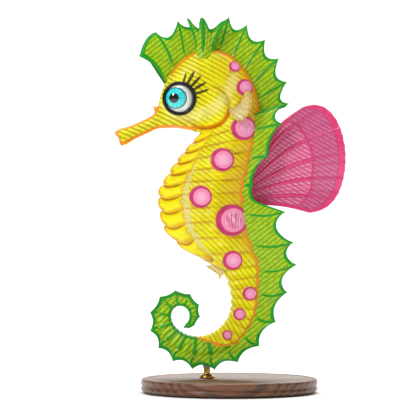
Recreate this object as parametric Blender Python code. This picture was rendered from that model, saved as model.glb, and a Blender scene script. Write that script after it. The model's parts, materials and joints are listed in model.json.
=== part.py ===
"""A spiny seahorse, life size, on a round display base with one short rod.

The animal faces -X, its right side faces +Y and its left side -Y. Z is up and the origin is the middle of the
base's underside. The body is one long tube of sections. A station names a place along it: the head's sections
are stations -15 to -1, the trunk's bony rings end at stations 1 to 11 and the tail's at 12 to 46. An angle goes
round a section from the middle of the back (0) by the flank (90) to the belly's keel (180). Each sub-part is a
stretch of that tube, or stands on it.
"""

import bisect
import math

import bmesh
import bpy
import numpy as np
from mathutils import Matrix, Vector

MM = 0.001
GAP = 0.3  # mm between neighbouring solids
SIDES = ((1, "right"), (-1, "left"))

# Head and trunk sections, in mm: station, back (x, z), belly (x, z), half width, how far down the depth the
# section is widest, and how square it is above and below that line (2 is round, 1.5 a keel, 3 a box).
SECTIONS = (
    (-15.0, (-38.9, 89.0), (-36.6, 84.1), 1.9, 0.50, 2.0, 2.0),  # lips
    (-14.0, (-37.1, 89.9), (-34.8, 84.7), 2.0, 0.50, 2.0, 2.0),
    (-13.0, (-34.6, 90.5), (-32.7, 86.2), 1.8, 0.50, 2.0, 2.0),  # neck of the snout
    (-12.0, (-29.9, 92.4), (-28.1, 88.4), 1.8, 0.50, 2.0, 2.0),
    (-11.0, (-26.0, 94.6), (-24.2, 90.0), 2.1, 0.50, 2.0, 2.0),  # root of the snout
    (-10.0, (-24.4, 97.2), (-21.4, 90.1), 3.0, 0.52, 2.0, 2.0),
    (-9.0, (-23.4, 101.3), (-18.4, 90.2), 4.8, 0.50, 2.0, 2.0),
    (-8.0, (-21.8, 105.3), (-15.6, 89.8), 6.2, 0.45, 2.1, 2.0),  # eyes
    (-7.0, (-18.9, 110.2), (-13.3, 89.3), 6.4, 0.50, 2.1, 2.0),
    (-6.0, (-14.8, 114.3), (-11.9, 88.9), 6.6, 0.55, 2.1, 2.0),
    (-5.0, (-10.0, 116.6), (-11.1, 88.8), 6.8, 0.58, 2.1, 2.0),  # crown of the head
    (-4.0, (-5.2, 116.9), (-10.7, 88.8), 6.9, 0.58, 2.1, 2.0),
    (-3.0, (0.1, 115.1), (-10.4, 88.8), 6.7, 0.55, 2.1, 2.0),
    (-2.0, (5.2, 110.4), (-10.2, 88.8), 6.3, 0.50, 2.2, 1.9),  # nape
    (-1.0, (8.7, 104.0), (-10.1, 88.7), 6.2, 0.47, 2.3, 1.8),
    (0.0, (10.2, 97.1), (-10.1, 88.2), 6.4, 0.44, 2.4, 1.8),  # shoulder
    (1.0, (10.8, 92.3), (-12.2, 85.6), 6.7, 0.42, 2.4, 1.7),
    (2.0, (10.6, 87.5), (-14.7, 82.4), 7.0, 0.42, 2.4, 1.7),
    (4.0, (9.0, 77.6), (-19.8, 75.1), 7.8, 0.42, 2.4, 1.7),
    (6.0, (7.4, 68.3), (-23.4, 67.1), 8.0, 0.42, 2.4, 1.7),
    (8.0, (8.0, 58.7), (-22.1, 57.5), 7.7, 0.42, 2.4, 1.7),
    (9.5, (9.6, 50.7), (-15.7, 49.5), 6.8, 0.44, 2.6, 1.8),
    (11.0, (11.2, 43.7), (-2.2, 41.5), 5.6, 0.50, 3.0, 2.4),  # vent
)
LIPS, SNOUT_ROOT, SHOULDER = -15, -11, 0
LAST_TRUNK_RING = 11
TAIL_RINGS = 35
TIP = LAST_TRUNK_RING + TAIL_RINGS
TAIL_LENGTH = 75.0
TAIL_RING_TAPER = 0.966  # each tail ring's length over the last one's
TAIL_START_HEADING = -79.0  # degrees above +X
# Distance along the tail in mm, with the bend there in degrees for each mm, or with the section's half depth in mm.
TAIL_BEND = ((0, 0.4), (6, 1.2), (12, 2.8), (20, 3.5), (32, 3.8), (45, 4.8), (50, 6.4), (55, 9.3), (62, 12.2), (75, 12.2))
TAIL_DEPTH = ((0, 6.8), (6, 5.5), (15, 4.7), (28, 4.1), (40, 3.4), (52, 2.6), (62, 1.8), (70, 1.15), (75, 0.6))
TAIL_WIDTH = 0.84  # half width over half depth
TAIL_SQUARENESS = 3.0

# The body's solids: stretches between ring joints, short where the tail curls tightly.
TRUNK = (("neck", SHOULDER, 2), ("trunk_upper", 2, 6), ("trunk_lower", 6, LAST_TRUNK_RING))
TAIL_JOINTS = (LAST_TRUNK_RING, 16, 21, 26, 30, 33, 36, 40, TIP)
GREEN_FROM = 21
STEPS, TRUNK_STEPS = 2, 3  # sections in each ring

# Long ridges of the bony rings, in degrees round the section.
SUPERIOR, LATERAL, INFERIOR, KEEL = 42.0, 88.0, 132.0, 180.0
SOLID_ANGLES = (0.0, 21.0, SUPERIOR, 65.0, LATERAL, 110.0, INFERIOR, 156.0, KEEL)
RING_RELIEF = 0.38  # mm, how far a ring's middle stands out and its joints go in
RIDGE_RELIEF = 0.45
BELLY_RELIEF = 0.55  # the extra swell of the breast and belly plates

EYE_CENTRE = (-16.9, 4.9, 100.0)
EYE_RADII = (4.9, 3.4, 4.9)
ORBIT_RELIEF, ORBIT_REACH = 1.5, 9.0  # mm, how far the skin swells round an eye, and how far from its middle
SPINE_RADIUS, SPINE_ROOT = 1.1, 1.5  # mm; the root is the length under the skin

# The crown: rings of (height, radius, share of the lobes) up its wall, then its spines and the cup between them.
CROWN_STATION = -5.0
CROWN_CENTRE = (-8.2, 0.0, 115.2)
CROWN_LEAN = 5.0  # degrees back from upright
CROWN_SPINES = 5
CROWN_LEVELS = ((0.0, 3.5, 0.0), (2.6, 3.1, 0.05), (4.8, 3.6, 0.2), (6.8, 4.5, 0.45), (8.6, 5.2, 0.75))
CROWN_TIP_RISE, CROWN_TIP_FLARE = 3.4, 1.8
CROWN_CUP = 2.8  # depth of the hollow on top

# The crest: a web held up by spines. It stands in the middle on the head, and from the shoulder back there is one
# on each superior ridge, with a spine at the middle of every second bony ring.
CREST_LEAN = 13.0  # degrees outwards from the middle, of the paired webs
CREST_THICKNESS, CREST_EDGE = 1.0, 0.6
CREST_HEIGHT = (
    (-7.9, 9.2), (-7, 10.2), (-6.1, 10.6), (-3.6, 10.8), (-2, 10.8), (-1, 10.6), (0.4, 9.8), (1.5, 8.8), (3, 6.4),
    (4.2, 3.2), (5.5, 2.2), (6.4, 3.2), (7.5, 10.2), (9.5, 11.6), (11.5, 11.4), (13.5, 8.6), (16, 6.0), (20, 4.6),
    (26, 3.8), (29, 2.9), (32, 2.0), (36, 1.3), (45, 0.9),
)
CREST_DIP = 0.42  # how far the margin falls between two spines, as a share of the height
BROW_SWEEP = 5.0  # mm, how far the foremost spine leans forwards
HEAD_SPINES = (-7.9, -7.0, -6.1, -5.3, -3.6, -2.8, -2.0, -1.25, -0.45, 0.4)
HEAD_CREST = (("brow", -8.05, -5.0), ("nape", -4.3, 0.55))
RIDGE_CREST = (
    ("shoulder", 0.3, 4), ("back", 4, 7), ("loin", 7, 11), ("tail_1", 11, 16), ("tail_2", 16, 22), ("tail_3", 22, 28),
    ("tail_4", 28, 33), ("tail_5", 33, 38), ("tail_6", 38, 45),
)

FIN_RAYS = 18
FIN_BASE = (4.5, 6.95)  # stations
FIN_HUB = (6.0, 69.0)
FIN_SPREAD = (56.0, -20.0)  # degrees above +X of the first and last ray
FIN_REACH = (42.4, 27.5)  # mm from the hub, first and last ray
FIN_CORNER = 0.2  # how much shorter the rays at the two corners are
FIN_BULGE = 3.4  # mm, how far the front ray bows forwards
FIN_WAVE = 1.5
FIN_STEPS = 3

SIDE_FIN_RAYS = 12
SIDE_FIN_STATION = -0.75
SIDE_FIN_ANGLES = (64.0, 100.0)
SIDE_FIN_LENGTH = 6.8
SIDE_FIN_SPREAD = (62.0, -50.0)
SIDE_FIN_STANDS_OFF = 28.0  # degrees from the flank

VENT_FIN_STATIONS = (10.55, 11.25)
VENT_FIN_LENGTH = 2.2

BASE_RADIUS, BASE_HEIGHT, BASE_BEVEL = 30.0, 5.0, 0.9
ROD_RADIUS, ROD_X, ROD_SIDES = 1.1, -7.6, 16
COLLAR_RADIUS, COLLAR_HEIGHT = 2.6, 1.3


def through(knots, values):
    """A smooth function through the knots that never overshoots a value. Values are numbers or equal tuples."""
    x = np.array(knots, float)
    y = np.array(values, float).reshape(len(x), -1)
    step = np.diff(x)[:, None]
    slope = np.diff(y, axis=0) / step
    tangent = np.zeros_like(y)
    tangent[0], tangent[-1] = slope[0], slope[-1]
    before, after = slope[:-1], slope[1:]
    weight_before, weight_after = 2 * step[1:] + step[:-1], step[1:] + 2 * step[:-1]
    same_way = before * after > 0
    safe_before, safe_after = np.where(same_way, before, 1.0), np.where(same_way, after, 1.0)
    harmonic = (weight_before + weight_after) / (weight_before / safe_before + weight_after / safe_after)
    tangent[1:-1] = np.where(same_way, harmonic, 0.0)

    def value(at):
        i = min(max(bisect.bisect_right(knots, at) - 1, 0), len(x) - 2)
        h = x[i + 1] - x[i]
        s = (min(max(at, x[0]), x[-1]) - x[i]) / h
        found = (
            y[i] * (1 + 2 * s) * (1 - s) ** 2
            + tangent[i] * h * s * (1 - s) ** 2
            + y[i + 1] * s * s * (3 - 2 * s)
            + tangent[i + 1] * h * s * s * (s - 1)
        )
        return found if len(found) > 1 else float(found[0])

    return value


def of_pairs(pairs):
    return through([p[0] for p in pairs], [p[1] for p in pairs])


def tail_sections():
    """One section for each tail ring joint, from the bends and depths along the tail."""
    bend, depth = of_pairs(TAIL_BEND), of_pairs(TAIL_DEPTH)
    lengths = TAIL_RING_TAPER ** np.arange(TAIL_RINGS)
    joints = np.concatenate([[0.0], np.cumsum(lengths)]) * TAIL_LENGTH / lengths.sum()
    back, belly = SECTIONS[-1][1], SECTIONS[-1][2]
    x, z = (back[0] + belly[0]) / 2, (back[1] + belly[1]) / 2
    heading, along, rows = math.radians(TAIL_START_HEADING), 0.0, []
    steps = 12
    for ring in range(1, TAIL_RINGS + 1):
        step = (joints[ring] - joints[ring - 1]) / steps
        for _ in range(steps):
            heading -= math.radians(bend(along)) * step
            x, z, along = x + math.cos(heading) * step, z + math.sin(heading) * step, along + step
        half = depth(along)
        out = (-math.sin(heading) * half, math.cos(heading) * half)
        rows.append(
            (LAST_TRUNK_RING + ring, (x + out[0], z + out[1]), (x - out[0], z - out[1]),
             half * TAIL_WIDTH, 0.5, TAIL_SQUARENESS, TAIL_SQUARENESS)
        )
    return rows


ROWS = [*SECTIONS, *tail_sections()]
SECTION_AT = through([r[0] for r in ROWS], [(*r[1], *r[2], *r[3:]) for r in ROWS])
CREST_SPINES = [*HEAD_SPINES, *(ring + 0.5 for ring in range(1, TIP - 1, 2))]
CREST_HEIGHT_AT = of_pairs(CREST_HEIGHT)
BROW_SWEEP_AT = of_pairs(((HEAD_SPINES[0], BROW_SWEEP), (HEAD_SPINES[2], BROW_SWEEP * 0.15), (CROWN_STATION, 0.0)))


def bump(distance, reach):
    """1 at no distance, falling smoothly to 0 at the reach."""
    share = min(abs(distance) / reach, 1.0)
    return (1 - share * share) ** 2


def relief(station, angle, depth):
    """How far the bony rings lift the surface there, in mm."""
    if station < 0:
        return 0.0
    size = min(1.0, depth / 10.0) * min(1.0, station + 0.2)
    ring = -math.cos(2 * math.pi * station)
    belly = bump(KEEL - angle, 62.0) * bump(station - 5.5, 7.0)
    ridges = [SUPERIOR, INFERIOR] + ([LATERAL, KEEL] if station < LAST_TRUNK_RING else [])
    ridge = max(bump(angle - r, 14.0) for r in ridges)
    return size * (RING_RELIEF * ring + RIDGE_RELIEF * ridge * (1 + 0.5 * ring) + BELLY_RELIEF * belly * (ring + 0.2))


def frame_at(station):
    """The section there: its widest point, the direction to its back, its sizes and its depth."""
    row = SECTION_AT(station)
    back, belly = Vector((row[0], 0, row[1])), Vector((row[2], 0, row[3]))
    up = (back - belly).normalized()
    return back.lerp(belly, row[5]), up, row, (back - belly).length


def surface(station, angle, side=1, grow=0.0):
    """The point of the body's surface, in mm. Side is 1 for the right and -1 for the left."""
    centre, up, row, depth = frame_at(station)
    half_width, belt, above, below = row[4:8]
    c, s = math.cos(math.radians(angle)), math.sin(math.radians(angle))
    square = above if c >= 0 else below
    reach = depth * (belt if c >= 0 else 1 - belt)
    rise = math.copysign(abs(c) ** (2 / square), c) * reach
    width = abs(s) ** (2 / square) * half_width
    outward = (up * c + Vector((0, side * s, 0))) * (relief(station, angle, depth) + grow)
    point = centre + up * rise + Vector((0, side * width, 0)) + outward
    from_eye = math.hypot(point.x - EYE_CENTRE[0], point.z - EYE_CENTRE[2])
    point.y += side * s * ORBIT_RELIEF * bump(from_eye, ORBIT_REACH)
    return point


def ring_of(station, grow=0.0):
    """One closed ring of points round the body."""
    right = [surface(station, a, 1, grow) for a in SOLID_ANGLES]
    left = [surface(station, a, -1, grow) for a in SOLID_ANGLES[-2:0:-1]]
    return right + left


def material(name, colour, roughness, metallic=0.0):
    made = bpy.data.materials.new(name)
    made.use_nodes = True
    shader = made.node_tree.nodes["Principled BSDF"]
    shader.inputs["Base Color"].default_value = (*colour, 1)
    shader.inputs["Roughness"].default_value = roughness
    shader.inputs["Metallic"].default_value = metallic
    return made


def finished(name, bm, finish=None, smooth_angle=35.0):
    """Makes the mesh, in mm, an object in metres with its normals outwards."""
    bmesh.ops.recalc_face_normals(bm, faces=bm.faces)
    bmesh.ops.scale(bm, vec=(MM, MM, MM), verts=bm.verts)
    mesh = bpy.data.meshes.new(name)
    bm.to_mesh(mesh)
    bm.free()
    mesh.shade_smooth()
    mesh.set_sharp_from_angle(angle=math.radians(smooth_angle))
    if finish:
        mesh.materials.append(finish)
    made = bpy.data.objects.new(name, mesh)
    bpy.context.scene.collection.objects.link(made)
    return made


def rolled(rings):
    """A closed mesh through rings of equally many points, with a flat cap at each end."""
    bm = bmesh.new()
    along, around = len(rings) - 1, len(rings[0])
    bmesh.ops.create_grid(bm, x_segments=along, y_segments=around, size=0.5)
    for vert in bm.verts:
        ring, place = round((vert.co.x + 0.5) * along), round((vert.co.y + 0.5) * around)
        vert.co = rings[ring][place % around]
    bmesh.ops.remove_doubles(bm, verts=bm.verts, dist=1e-5)
    bmesh.ops.holes_fill(bm, edges=[e for e in bm.edges if e.is_boundary], sides=0)
    return bm


def stations_between(first, last):
    """Where a solid's sections lie: both ends, and evenly in each bony ring or head section."""
    steps = TRUNK_STEPS if SHOULDER <= first < LAST_TRUNK_RING else STEPS
    inner = [k / steps for k in range(math.ceil(first * steps + 0.2), math.floor(last * steps - 0.2) + 1)]
    return [first, *inner, last]


def millimetres_at(station):
    """How long one station is there, on the body's axis."""
    near, far = frame_at(station - 0.05)[0], frame_at(station + 0.05)[0]
    return (far - near).length / 0.1


def stretch(name, first, last, finish):
    """A length of the body between two stations, held back by half a gap where a neighbour meets it."""
    start = first if first == LIPS else first + GAP / 2 / millimetres_at(first)
    end = last if last == TIP else last - GAP / 2 / millimetres_at(last)
    return finished(name, rolled([ring_of(s) for s in stations_between(start, end)]), finish)


def cutter(name, bm):
    """A hidden helper for a Boolean."""
    helper = finished(name, bm)
    helper.hide_render = True
    helper.display_type = "WIRE"
    return helper


def boolean(target, helper, operation):
    modifier = target.modifiers.new(f"{operation.lower()}_{helper.name}", "BOOLEAN")
    modifier.operation = operation
    modifier.object = helper


def spine(name, surface_point, direction, length):
    """A blunt cone that starts under the surface and stands out from it."""
    root = surface_point - direction * SPINE_ROOT
    tip = surface_point + direction * length
    turn = direction.to_track_quat("Z", "Y").to_matrix().to_4x4()
    bm = bmesh.new()
    bmesh.ops.create_cone(
        bm, cap_ends=True, segments=6, radius1=SPINE_RADIUS, radius2=SPINE_RADIUS * 0.25, depth=(tip - root).length,
        matrix=Matrix.Translation((root + tip) / 2) @ turn,
    )
    return cutter(name, bm)


def eyeball(side, grow=0.0):
    radii = [r + grow for r in EYE_RADII]
    place = Matrix.Translation((EYE_CENTRE[0], side * EYE_CENTRE[1], EYE_CENTRE[2])) @ Matrix.Diagonal((*radii, 1))
    bm = bmesh.new()
    bmesh.ops.create_uvsphere(bm, u_segments=16, v_segments=8, radius=1, matrix=place)
    return bm


def build_head(finish):
    """The head, with sockets for the eyes and the spines of the nose, brows and cheeks."""
    head = stretch("head", SNOUT_ROOT, SHOULDER, finish)
    boolean(head, spine("nose_spine", surface(-10.3, 0), Vector((-0.65, 0, 0.76)), 1.9), "UNION")
    for side, label in SIDES:
        brow_way = Vector((-0.1, 0.55 * side, 0.83)).normalized()
        cheek_way = Vector((-0.05, 0.75 * side, -0.66)).normalized()
        boolean(head, spine(f"brow_spine_{label}", surface(-7.55, 36, side), brow_way, 2.4), "UNION")
        boolean(head, spine(f"cheek_spine_{label}", surface(-6.3, 138, side), cheek_way, 1.9), "UNION")
        boolean(head, cutter(f"socket_{label}", eyeball(side, GAP)), "DIFFERENCE")


def crown_ring(height, radius, lobe, tip_share):
    """One level of the crown: its outline grows lobes towards the spines, one of them to the front."""
    points = []
    for k in range(CROWN_SPINES * 4):
        turn = math.pi * k / (CROWN_SPINES * 2)
        peak = ((1 + math.cos(CROWN_SPINES * turn)) / 2) ** 1.6
        r = radius * (1 - 0.35 * lobe * (1 - peak)) + CROWN_TIP_FLARE * tip_share * peak
        points.append(Vector((-r * math.cos(turn), r * math.sin(turn), height + CROWN_TIP_RISE * tip_share * peak)))
    return points


def crown_wall(grow=0.0):
    """The crown's outside from its root to its tips."""
    rings = [crown_ring(height, radius + grow, lobe, 0) for height, radius, lobe in CROWN_LEVELS[:-1]]
    height, radius, lobe = CROWN_LEVELS[-1]
    rings.append(crown_ring(height, radius + grow, lobe, 1.0))
    return rings


def crown_room():
    """The space the crown needs, open above it too."""
    rings = crown_wall(GAP * 1.4)
    rings.append([point + Vector((0, 0, CROWN_CUP * 2)) for point in rings[-1]])
    return rings


def crown_mesh(rings):
    bm = rolled(rings)
    place = Matrix.Translation(CROWN_CENTRE) @ Matrix.Rotation(math.radians(CROWN_LEAN), 4, "Y")
    bmesh.ops.transform(bm, matrix=place, verts=bm.verts)
    return bm


def build_coronet(finish):
    """The crown on top of the head, hollowed between its spines and cut underneath to fit the head."""
    height, radius, lobe = CROWN_LEVELS[-1]
    cup = [crown_ring(height - 0.5, radius * 0.62, lobe, 0.35), crown_ring(height - CROWN_CUP, radius * 0.3, 0, 0)]
    crown = finished("coronet", crown_mesh(crown_wall() + cup), finish)
    head_room = rolled([ring_of(s, GAP) for s in stations_between(-8, -0.5)])
    boolean(crown, cutter("head_room", head_room), "DIFFERENCE")


def crest_height(station):
    """The crest's height in mm: full at a spine, with a hollow margin between two."""
    after = min(max(bisect.bisect_right(CREST_SPINES, station), 1), len(CREST_SPINES) - 1)
    before = CREST_SPINES[after - 1]
    share = min(max((station - before) / (CREST_SPINES[after] - before), 0.0), 1.0)
    dip = CREST_DIP * math.sin(math.pi * share) ** 0.75
    return CREST_HEIGHT_AT(station) * (1 - dip)


def crest_ring(station, side):
    """The corners of the crest's cut at a station: its foot sits astride its line, its top may lean outwards."""
    _, up, sizes, _ = frame_at(station)
    height = crest_height(station)
    lean = math.radians(CREST_LEAN * side)
    out = up * math.cos(lean) + Vector((0, math.sin(lean), 0))
    across = Vector((0, math.cos(lean), 0)) - up * math.sin(lean)
    thin = min(1.0, height / 3.0 + 0.45)
    turn = math.degrees(CREST_THICKNESS * thin / 2 / sizes[4])
    foot = [surface(station, abs(SUPERIOR * side + way * turn), side or way or 1, GAP) for way in (-1, 0, 1)]
    forwards = Vector((-up.z, 0, up.x)) * BROW_SWEEP_AT(station)
    top = foot[1] + out * height + forwards
    edge = across * CREST_EDGE * thin / 2
    return [*foot, top + edge, top - edge]


def build_crest(name, first, last, side, finish):
    """One length of web, with a section at each spine and each section of the body under it."""
    half_gap = GAP / 2 / millimetres_at(first)
    start, end = first + half_gap, last - half_gap
    spines = [s for s in CREST_SPINES if start < s < end]
    between = [s for s in stations_between(start, end) if all(abs(s - spine) > 0.12 for spine in spines)]
    return finished(name, rolled([crest_ring(s, side) for s in sorted(spines + between)]), finish)


def fan(name, rays, steps, place, finish, edge=0.5, ray=0.9):
    """A fin of so many rays. place(across, outward) gives a point of its middle surface and the normal there."""
    bm = bmesh.new()
    columns = 2 * (rays - 1)
    bmesh.ops.create_grid(bm, x_segments=columns, y_segments=steps, size=0.5)
    under = list(bm.verts)
    copied = bmesh.ops.duplicate(bm, geom=list(bm.faces))["geom"]
    over = [v for v in copied if isinstance(v, bmesh.types.BMVert)]
    for sheet, way in ((over, 1), (under, -1)):
        for vert in sheet:
            across, outward = vert.co.x + 0.5, vert.co.y + 0.5
            on_ray = round(across * columns) % 2 == 0
            thickness = edge + (ray - edge) * (1 - outward) * on_ray
            point, normal = place(across, outward)
            vert.co = point + normal * way * thickness / 2
    bmesh.ops.bridge_loops(bm, edges=[e for e in bm.edges if e.is_boundary])
    finished(name, bm, finish)


def back_fin_point(across, outward):
    """The back fin: its rays fan out from the middle of the back, and it waves a little."""
    station = FIN_BASE[0] + (FIN_BASE[1] - FIN_BASE[0]) * across
    foot = surface(station, 0) + frame_at(station)[1] * GAP
    angle = math.radians(FIN_SPREAD[0] + (FIN_SPREAD[1] - FIN_SPREAD[0]) * across)
    reach = FIN_REACH[0] + (FIN_REACH[1] - FIN_REACH[0]) * across
    reach *= 1 - FIN_CORNER * abs(2 * across - 1) ** 5
    tip = Vector((FIN_HUB[0] + reach * math.cos(angle), 0, FIN_HUB[1] + reach * math.sin(angle)))
    bow = math.sin(math.pi * outward) * FIN_BULGE * (1 - 1.1 * across)
    point = foot.lerp(tip, outward) + Vector((-math.sin(angle), 0, math.cos(angle))) * bow
    point.y = FIN_WAVE * outward ** 1.5 * math.sin(2 * math.pi * (across * 1.5 + 0.1))
    return point, Vector((0, 1, 0))


def side_fin(side):
    """The shape of the fin behind a gill cover, which stands off the flank."""
    clear = Vector((0, side * (GAP + 0.35), 0))
    top, bottom = (surface(SIDE_FIN_STATION, a, side) + clear for a in SIDE_FIN_ANGLES)
    off = math.radians(SIDE_FIN_STANDS_OFF)
    along = Vector((math.cos(off), side * math.sin(off), 0))
    normal = Vector((-along.y, along.x, 0))

    def place(across, outward):
        angle = math.radians(SIDE_FIN_SPREAD[0] + (SIDE_FIN_SPREAD[1] - SIDE_FIN_SPREAD[0]) * across)
        foot = top.lerp(bottom, 0.2 + 0.6 * across)
        reach = SIDE_FIN_LENGTH * (1 - 0.25 * abs(2 * across - 1) ** 3)
        ray = along * math.cos(angle) + Vector((0, 0, math.sin(angle)))
        return foot + ray * reach * outward, normal

    return place


def vent_fin_point(across, outward):
    """The tiny fin under the vent, swept back towards the tail."""
    station = VENT_FIN_STATIONS[0] + (VENT_FIN_STATIONS[1] - VENT_FIN_STATIONS[0]) * across
    up = frame_at(station)[1]
    foot = surface(station, KEEL) - up * (GAP + 0.2)
    backwards = Vector((up.z, 0, -up.x)) * 0.9 * across
    return foot + (backwards - up) * VENT_FIN_LENGTH * outward * (1 - 0.2 * across), Vector((0, 1, 0))


def build_stand(wood, brass):
    """A round base, and a rod that reaches the tail's lowest bend between the two webs of the crest."""
    bm = bmesh.new()
    bmesh.ops.create_cone(
        bm, cap_ends=True, segments=40, radius1=BASE_RADIUS, radius2=BASE_RADIUS, depth=BASE_HEIGHT,
        matrix=Matrix.Translation((0, 0, BASE_HEIGHT / 2)),
    )
    rim = [e for e in bm.edges if min(v.co.z for v in e.verts) > BASE_HEIGHT / 2]
    bmesh.ops.bevel(bm, geom=rim, offset=BASE_BEVEL, segments=2, profile=0.5, affect="EDGES", material=-1)
    finished("stand_base", bm, wood)
    foot = BASE_HEIGHT + GAP
    bend = [surface(s / 10, 0) for s in range(180, 300)]
    rod_top = min(p.z for p in bend if abs(p.x - ROD_X) < ROD_RADIUS) - GAP
    profile = (
        (foot, COLLAR_RADIUS), (foot + COLLAR_HEIGHT * 0.7, COLLAR_RADIUS),
        (foot + COLLAR_HEIGHT, COLLAR_RADIUS * 0.7), (foot + COLLAR_HEIGHT, ROD_RADIUS), (rod_top, ROD_RADIUS),
    )
    turns = [2 * math.pi * k / ROD_SIDES for k in range(ROD_SIDES)]
    rings = [[Vector((ROD_X + r * math.cos(a), r * math.sin(a), z)) for a in turns] for z, r in profile]
    finished("stand_rod", rolled(rings), brass)


def main():
    for old in list(bpy.data.objects):
        bpy.data.objects.remove(old)
    skin = material("yellow_skin", (0.86, 0.72, 0.03), 0.45)
    green = material("green_crest", (0.10, 0.42, 0.02), 0.45)
    pink = material("pink_fin", (0.68, 0.12, 0.24), 0.4)
    clear = material("clear_fin", (0.80, 0.45, 0.30), 0.4)
    eye = material("eye", (0.02, 0.6, 0.6), 0.08)
    wood = material("walnut", (0.10, 0.05, 0.025), 0.4)
    brass = material("brass", (0.75, 0.52, 0.2), 0.25, 1.0)

    stretch("snout", LIPS, SNOUT_ROOT, skin)
    build_head(skin)
    build_coronet(green)
    for name, first, last in TRUNK:
        stretch(name, first, last, skin)
    for number, (first, last) in enumerate(zip(TAIL_JOINTS, TAIL_JOINTS[1:]), 1):
        stretch(f"tail_{number}", first, last, skin if last <= GREEN_FROM else green)
    room = cutter("crown_room", crown_mesh(crown_room()))
    for name, first, last in HEAD_CREST:
        boolean(build_crest(f"crest_{name}", first, last, 0, green), room, "DIFFERENCE")
    for side, label in SIDES:
        finished(f"eye_{label}", eyeball(side), eye)
        for name, first, last in RIDGE_CREST:
            build_crest(f"crest_{name}_{label}", first, last, side, green)
        fan(f"pectoral_fin_{label}", SIDE_FIN_RAYS, 2, side_fin(side), clear, ray=0.6)
    fan("dorsal_fin", FIN_RAYS, FIN_STEPS, back_fin_point, pink)
    fan("anal_fin", 4, 2, vent_fin_point, clear, ray=0.6)
    build_stand(wood, brass)


main()
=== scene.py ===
"""A spiny seahorse, life size, on a walnut display stand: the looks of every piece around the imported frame.

The animal faces -X, its right side faces +Y and Z is up. Sizes are in millimetres, and each finished mesh is scaled to
metres. A station names a place along the body: the head's sections are stations -15 to -1, the trunk's bony rings end
at stations 1 to 11 and the tail's at 12 to 46. An angle goes round a section from the middle of the back (0) by the
flank (90) to the belly's keel (180), the same way on both sides.
"""

import json
import logging
import math
from dataclasses import dataclass, field
from enum import Enum, IntEnum
from typing import Any

import bmesh
import bpy
import numpy as np
from mathutils import Matrix, Vector

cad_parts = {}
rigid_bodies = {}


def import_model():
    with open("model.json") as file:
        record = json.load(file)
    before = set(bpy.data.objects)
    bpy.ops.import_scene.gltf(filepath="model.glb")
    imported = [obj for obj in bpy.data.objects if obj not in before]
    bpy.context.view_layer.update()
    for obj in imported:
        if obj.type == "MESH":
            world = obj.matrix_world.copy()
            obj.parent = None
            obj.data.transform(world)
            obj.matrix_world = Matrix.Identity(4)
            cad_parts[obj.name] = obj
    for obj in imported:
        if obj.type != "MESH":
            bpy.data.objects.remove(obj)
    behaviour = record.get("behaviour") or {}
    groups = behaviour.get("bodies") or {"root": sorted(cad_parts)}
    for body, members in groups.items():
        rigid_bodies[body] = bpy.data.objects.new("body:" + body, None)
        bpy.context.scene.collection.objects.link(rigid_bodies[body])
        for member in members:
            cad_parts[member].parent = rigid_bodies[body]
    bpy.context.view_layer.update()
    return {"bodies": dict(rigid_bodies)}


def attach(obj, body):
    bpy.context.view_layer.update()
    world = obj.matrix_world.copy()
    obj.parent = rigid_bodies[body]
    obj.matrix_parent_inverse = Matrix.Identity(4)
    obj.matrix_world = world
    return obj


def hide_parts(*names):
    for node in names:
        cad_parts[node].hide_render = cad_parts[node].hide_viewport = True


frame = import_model()

Array = np.ndarray
Numbers = Array | float
Pair = tuple[float, float]
Triple = tuple[float, float, float]
Points = list[Pair]

LOG = logging.getLogger("seahorse")
MM = 0.001
PER_MM = 1000.0  # object coordinates are in metres, so this makes them millimetres
MERGE = 1e-4  # mm, under which two points of a mesh are one
FAR = 9.0  # mm, further from any line or edge than its marking reaches
EYE = (-16.9, 4.9, 100.0)  # the right eye's middle, which the left one mirrors
Y_AXIS, Z_AXIS = np.array((0.0, 1.0, 0.0)), np.array((0.0, 0.0, 1.0))


class Side(IntEnum):
    """A side of the animal, as the sign of its Y."""

    RIGHT = 1
    LEFT = -1

    @property
    def label(self) -> str:
        """The side's word in names."""
        return self.name.lower()


class Slot(Enum):
    """The record's material slots."""

    SKIN = "skin"
    CREST = "crest"
    BACK_FIN = "back_fin"
    CLEAR_FIN = "clear_fin"
    EYE = "eye"
    BASE = "base_wood"
    ROD = "rod_brass"


class Mark(Enum):
    """Attributes that carry places on the surface to the finishes, three numbers each."""

    ALONG = "along"  # station, angle in degrees, relief in mm
    LINES = "lines"  # share of the back line's width, mm from the jaw line, mm past the belly plates' edge
    FACE = "face"  # mm from the cheek band's middle, mm from the eye's middle, rings past the tail's turn to green
    EDGES = "edges"  # mm above the keel, place among the belly plates, mm from the gill covers' groove
    SPOTS = "spots"  # mm from a spot's outer edge and from its rim's inner edge, the spot's radius
    WEB = "web"  # mm from the margin, mm from the nearest ray, share of the way out


def srgb(code: str) -> tuple[float, float, float, float]:
    """Turns a hex colour into linear light.

    Args:
        code: The colour as #RRGGBB in sRGB.

    Returns:
        Red, green, blue and an alpha of 1.
    """
    parts = [int(code[k : k + 2], 16) / 255 for k in (1, 3, 5)]
    linear = [c / 12.92 if c <= 0.04045 else ((c + 0.055) / 1.055) ** 2.4 for c in parts]
    return (*linear, 1.0)


def bump(distance: Numbers, reach: float) -> Array:
    """A smooth hill.

    Args:
        distance: How far from its top.
        reach: Where it ends.

    Returns:
        1 at the top, falling to 0 at the reach.
    """
    share = np.minimum(np.abs(distance) / reach, 1.0)
    return (1 - share * share) ** 2


def ramp(value: Numbers, low: float, high: float) -> Array:
    """A smooth step.

    Args:
        value: Where to read it.
        low: Where it is 0.
        high: Where it is 1.

    Returns:
        A number from 0 to 1.
    """
    share = np.clip((np.asarray(value, float) - low) / (high - low), 0.0, 1.0)
    return share * share * (3 - 2 * share)


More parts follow.
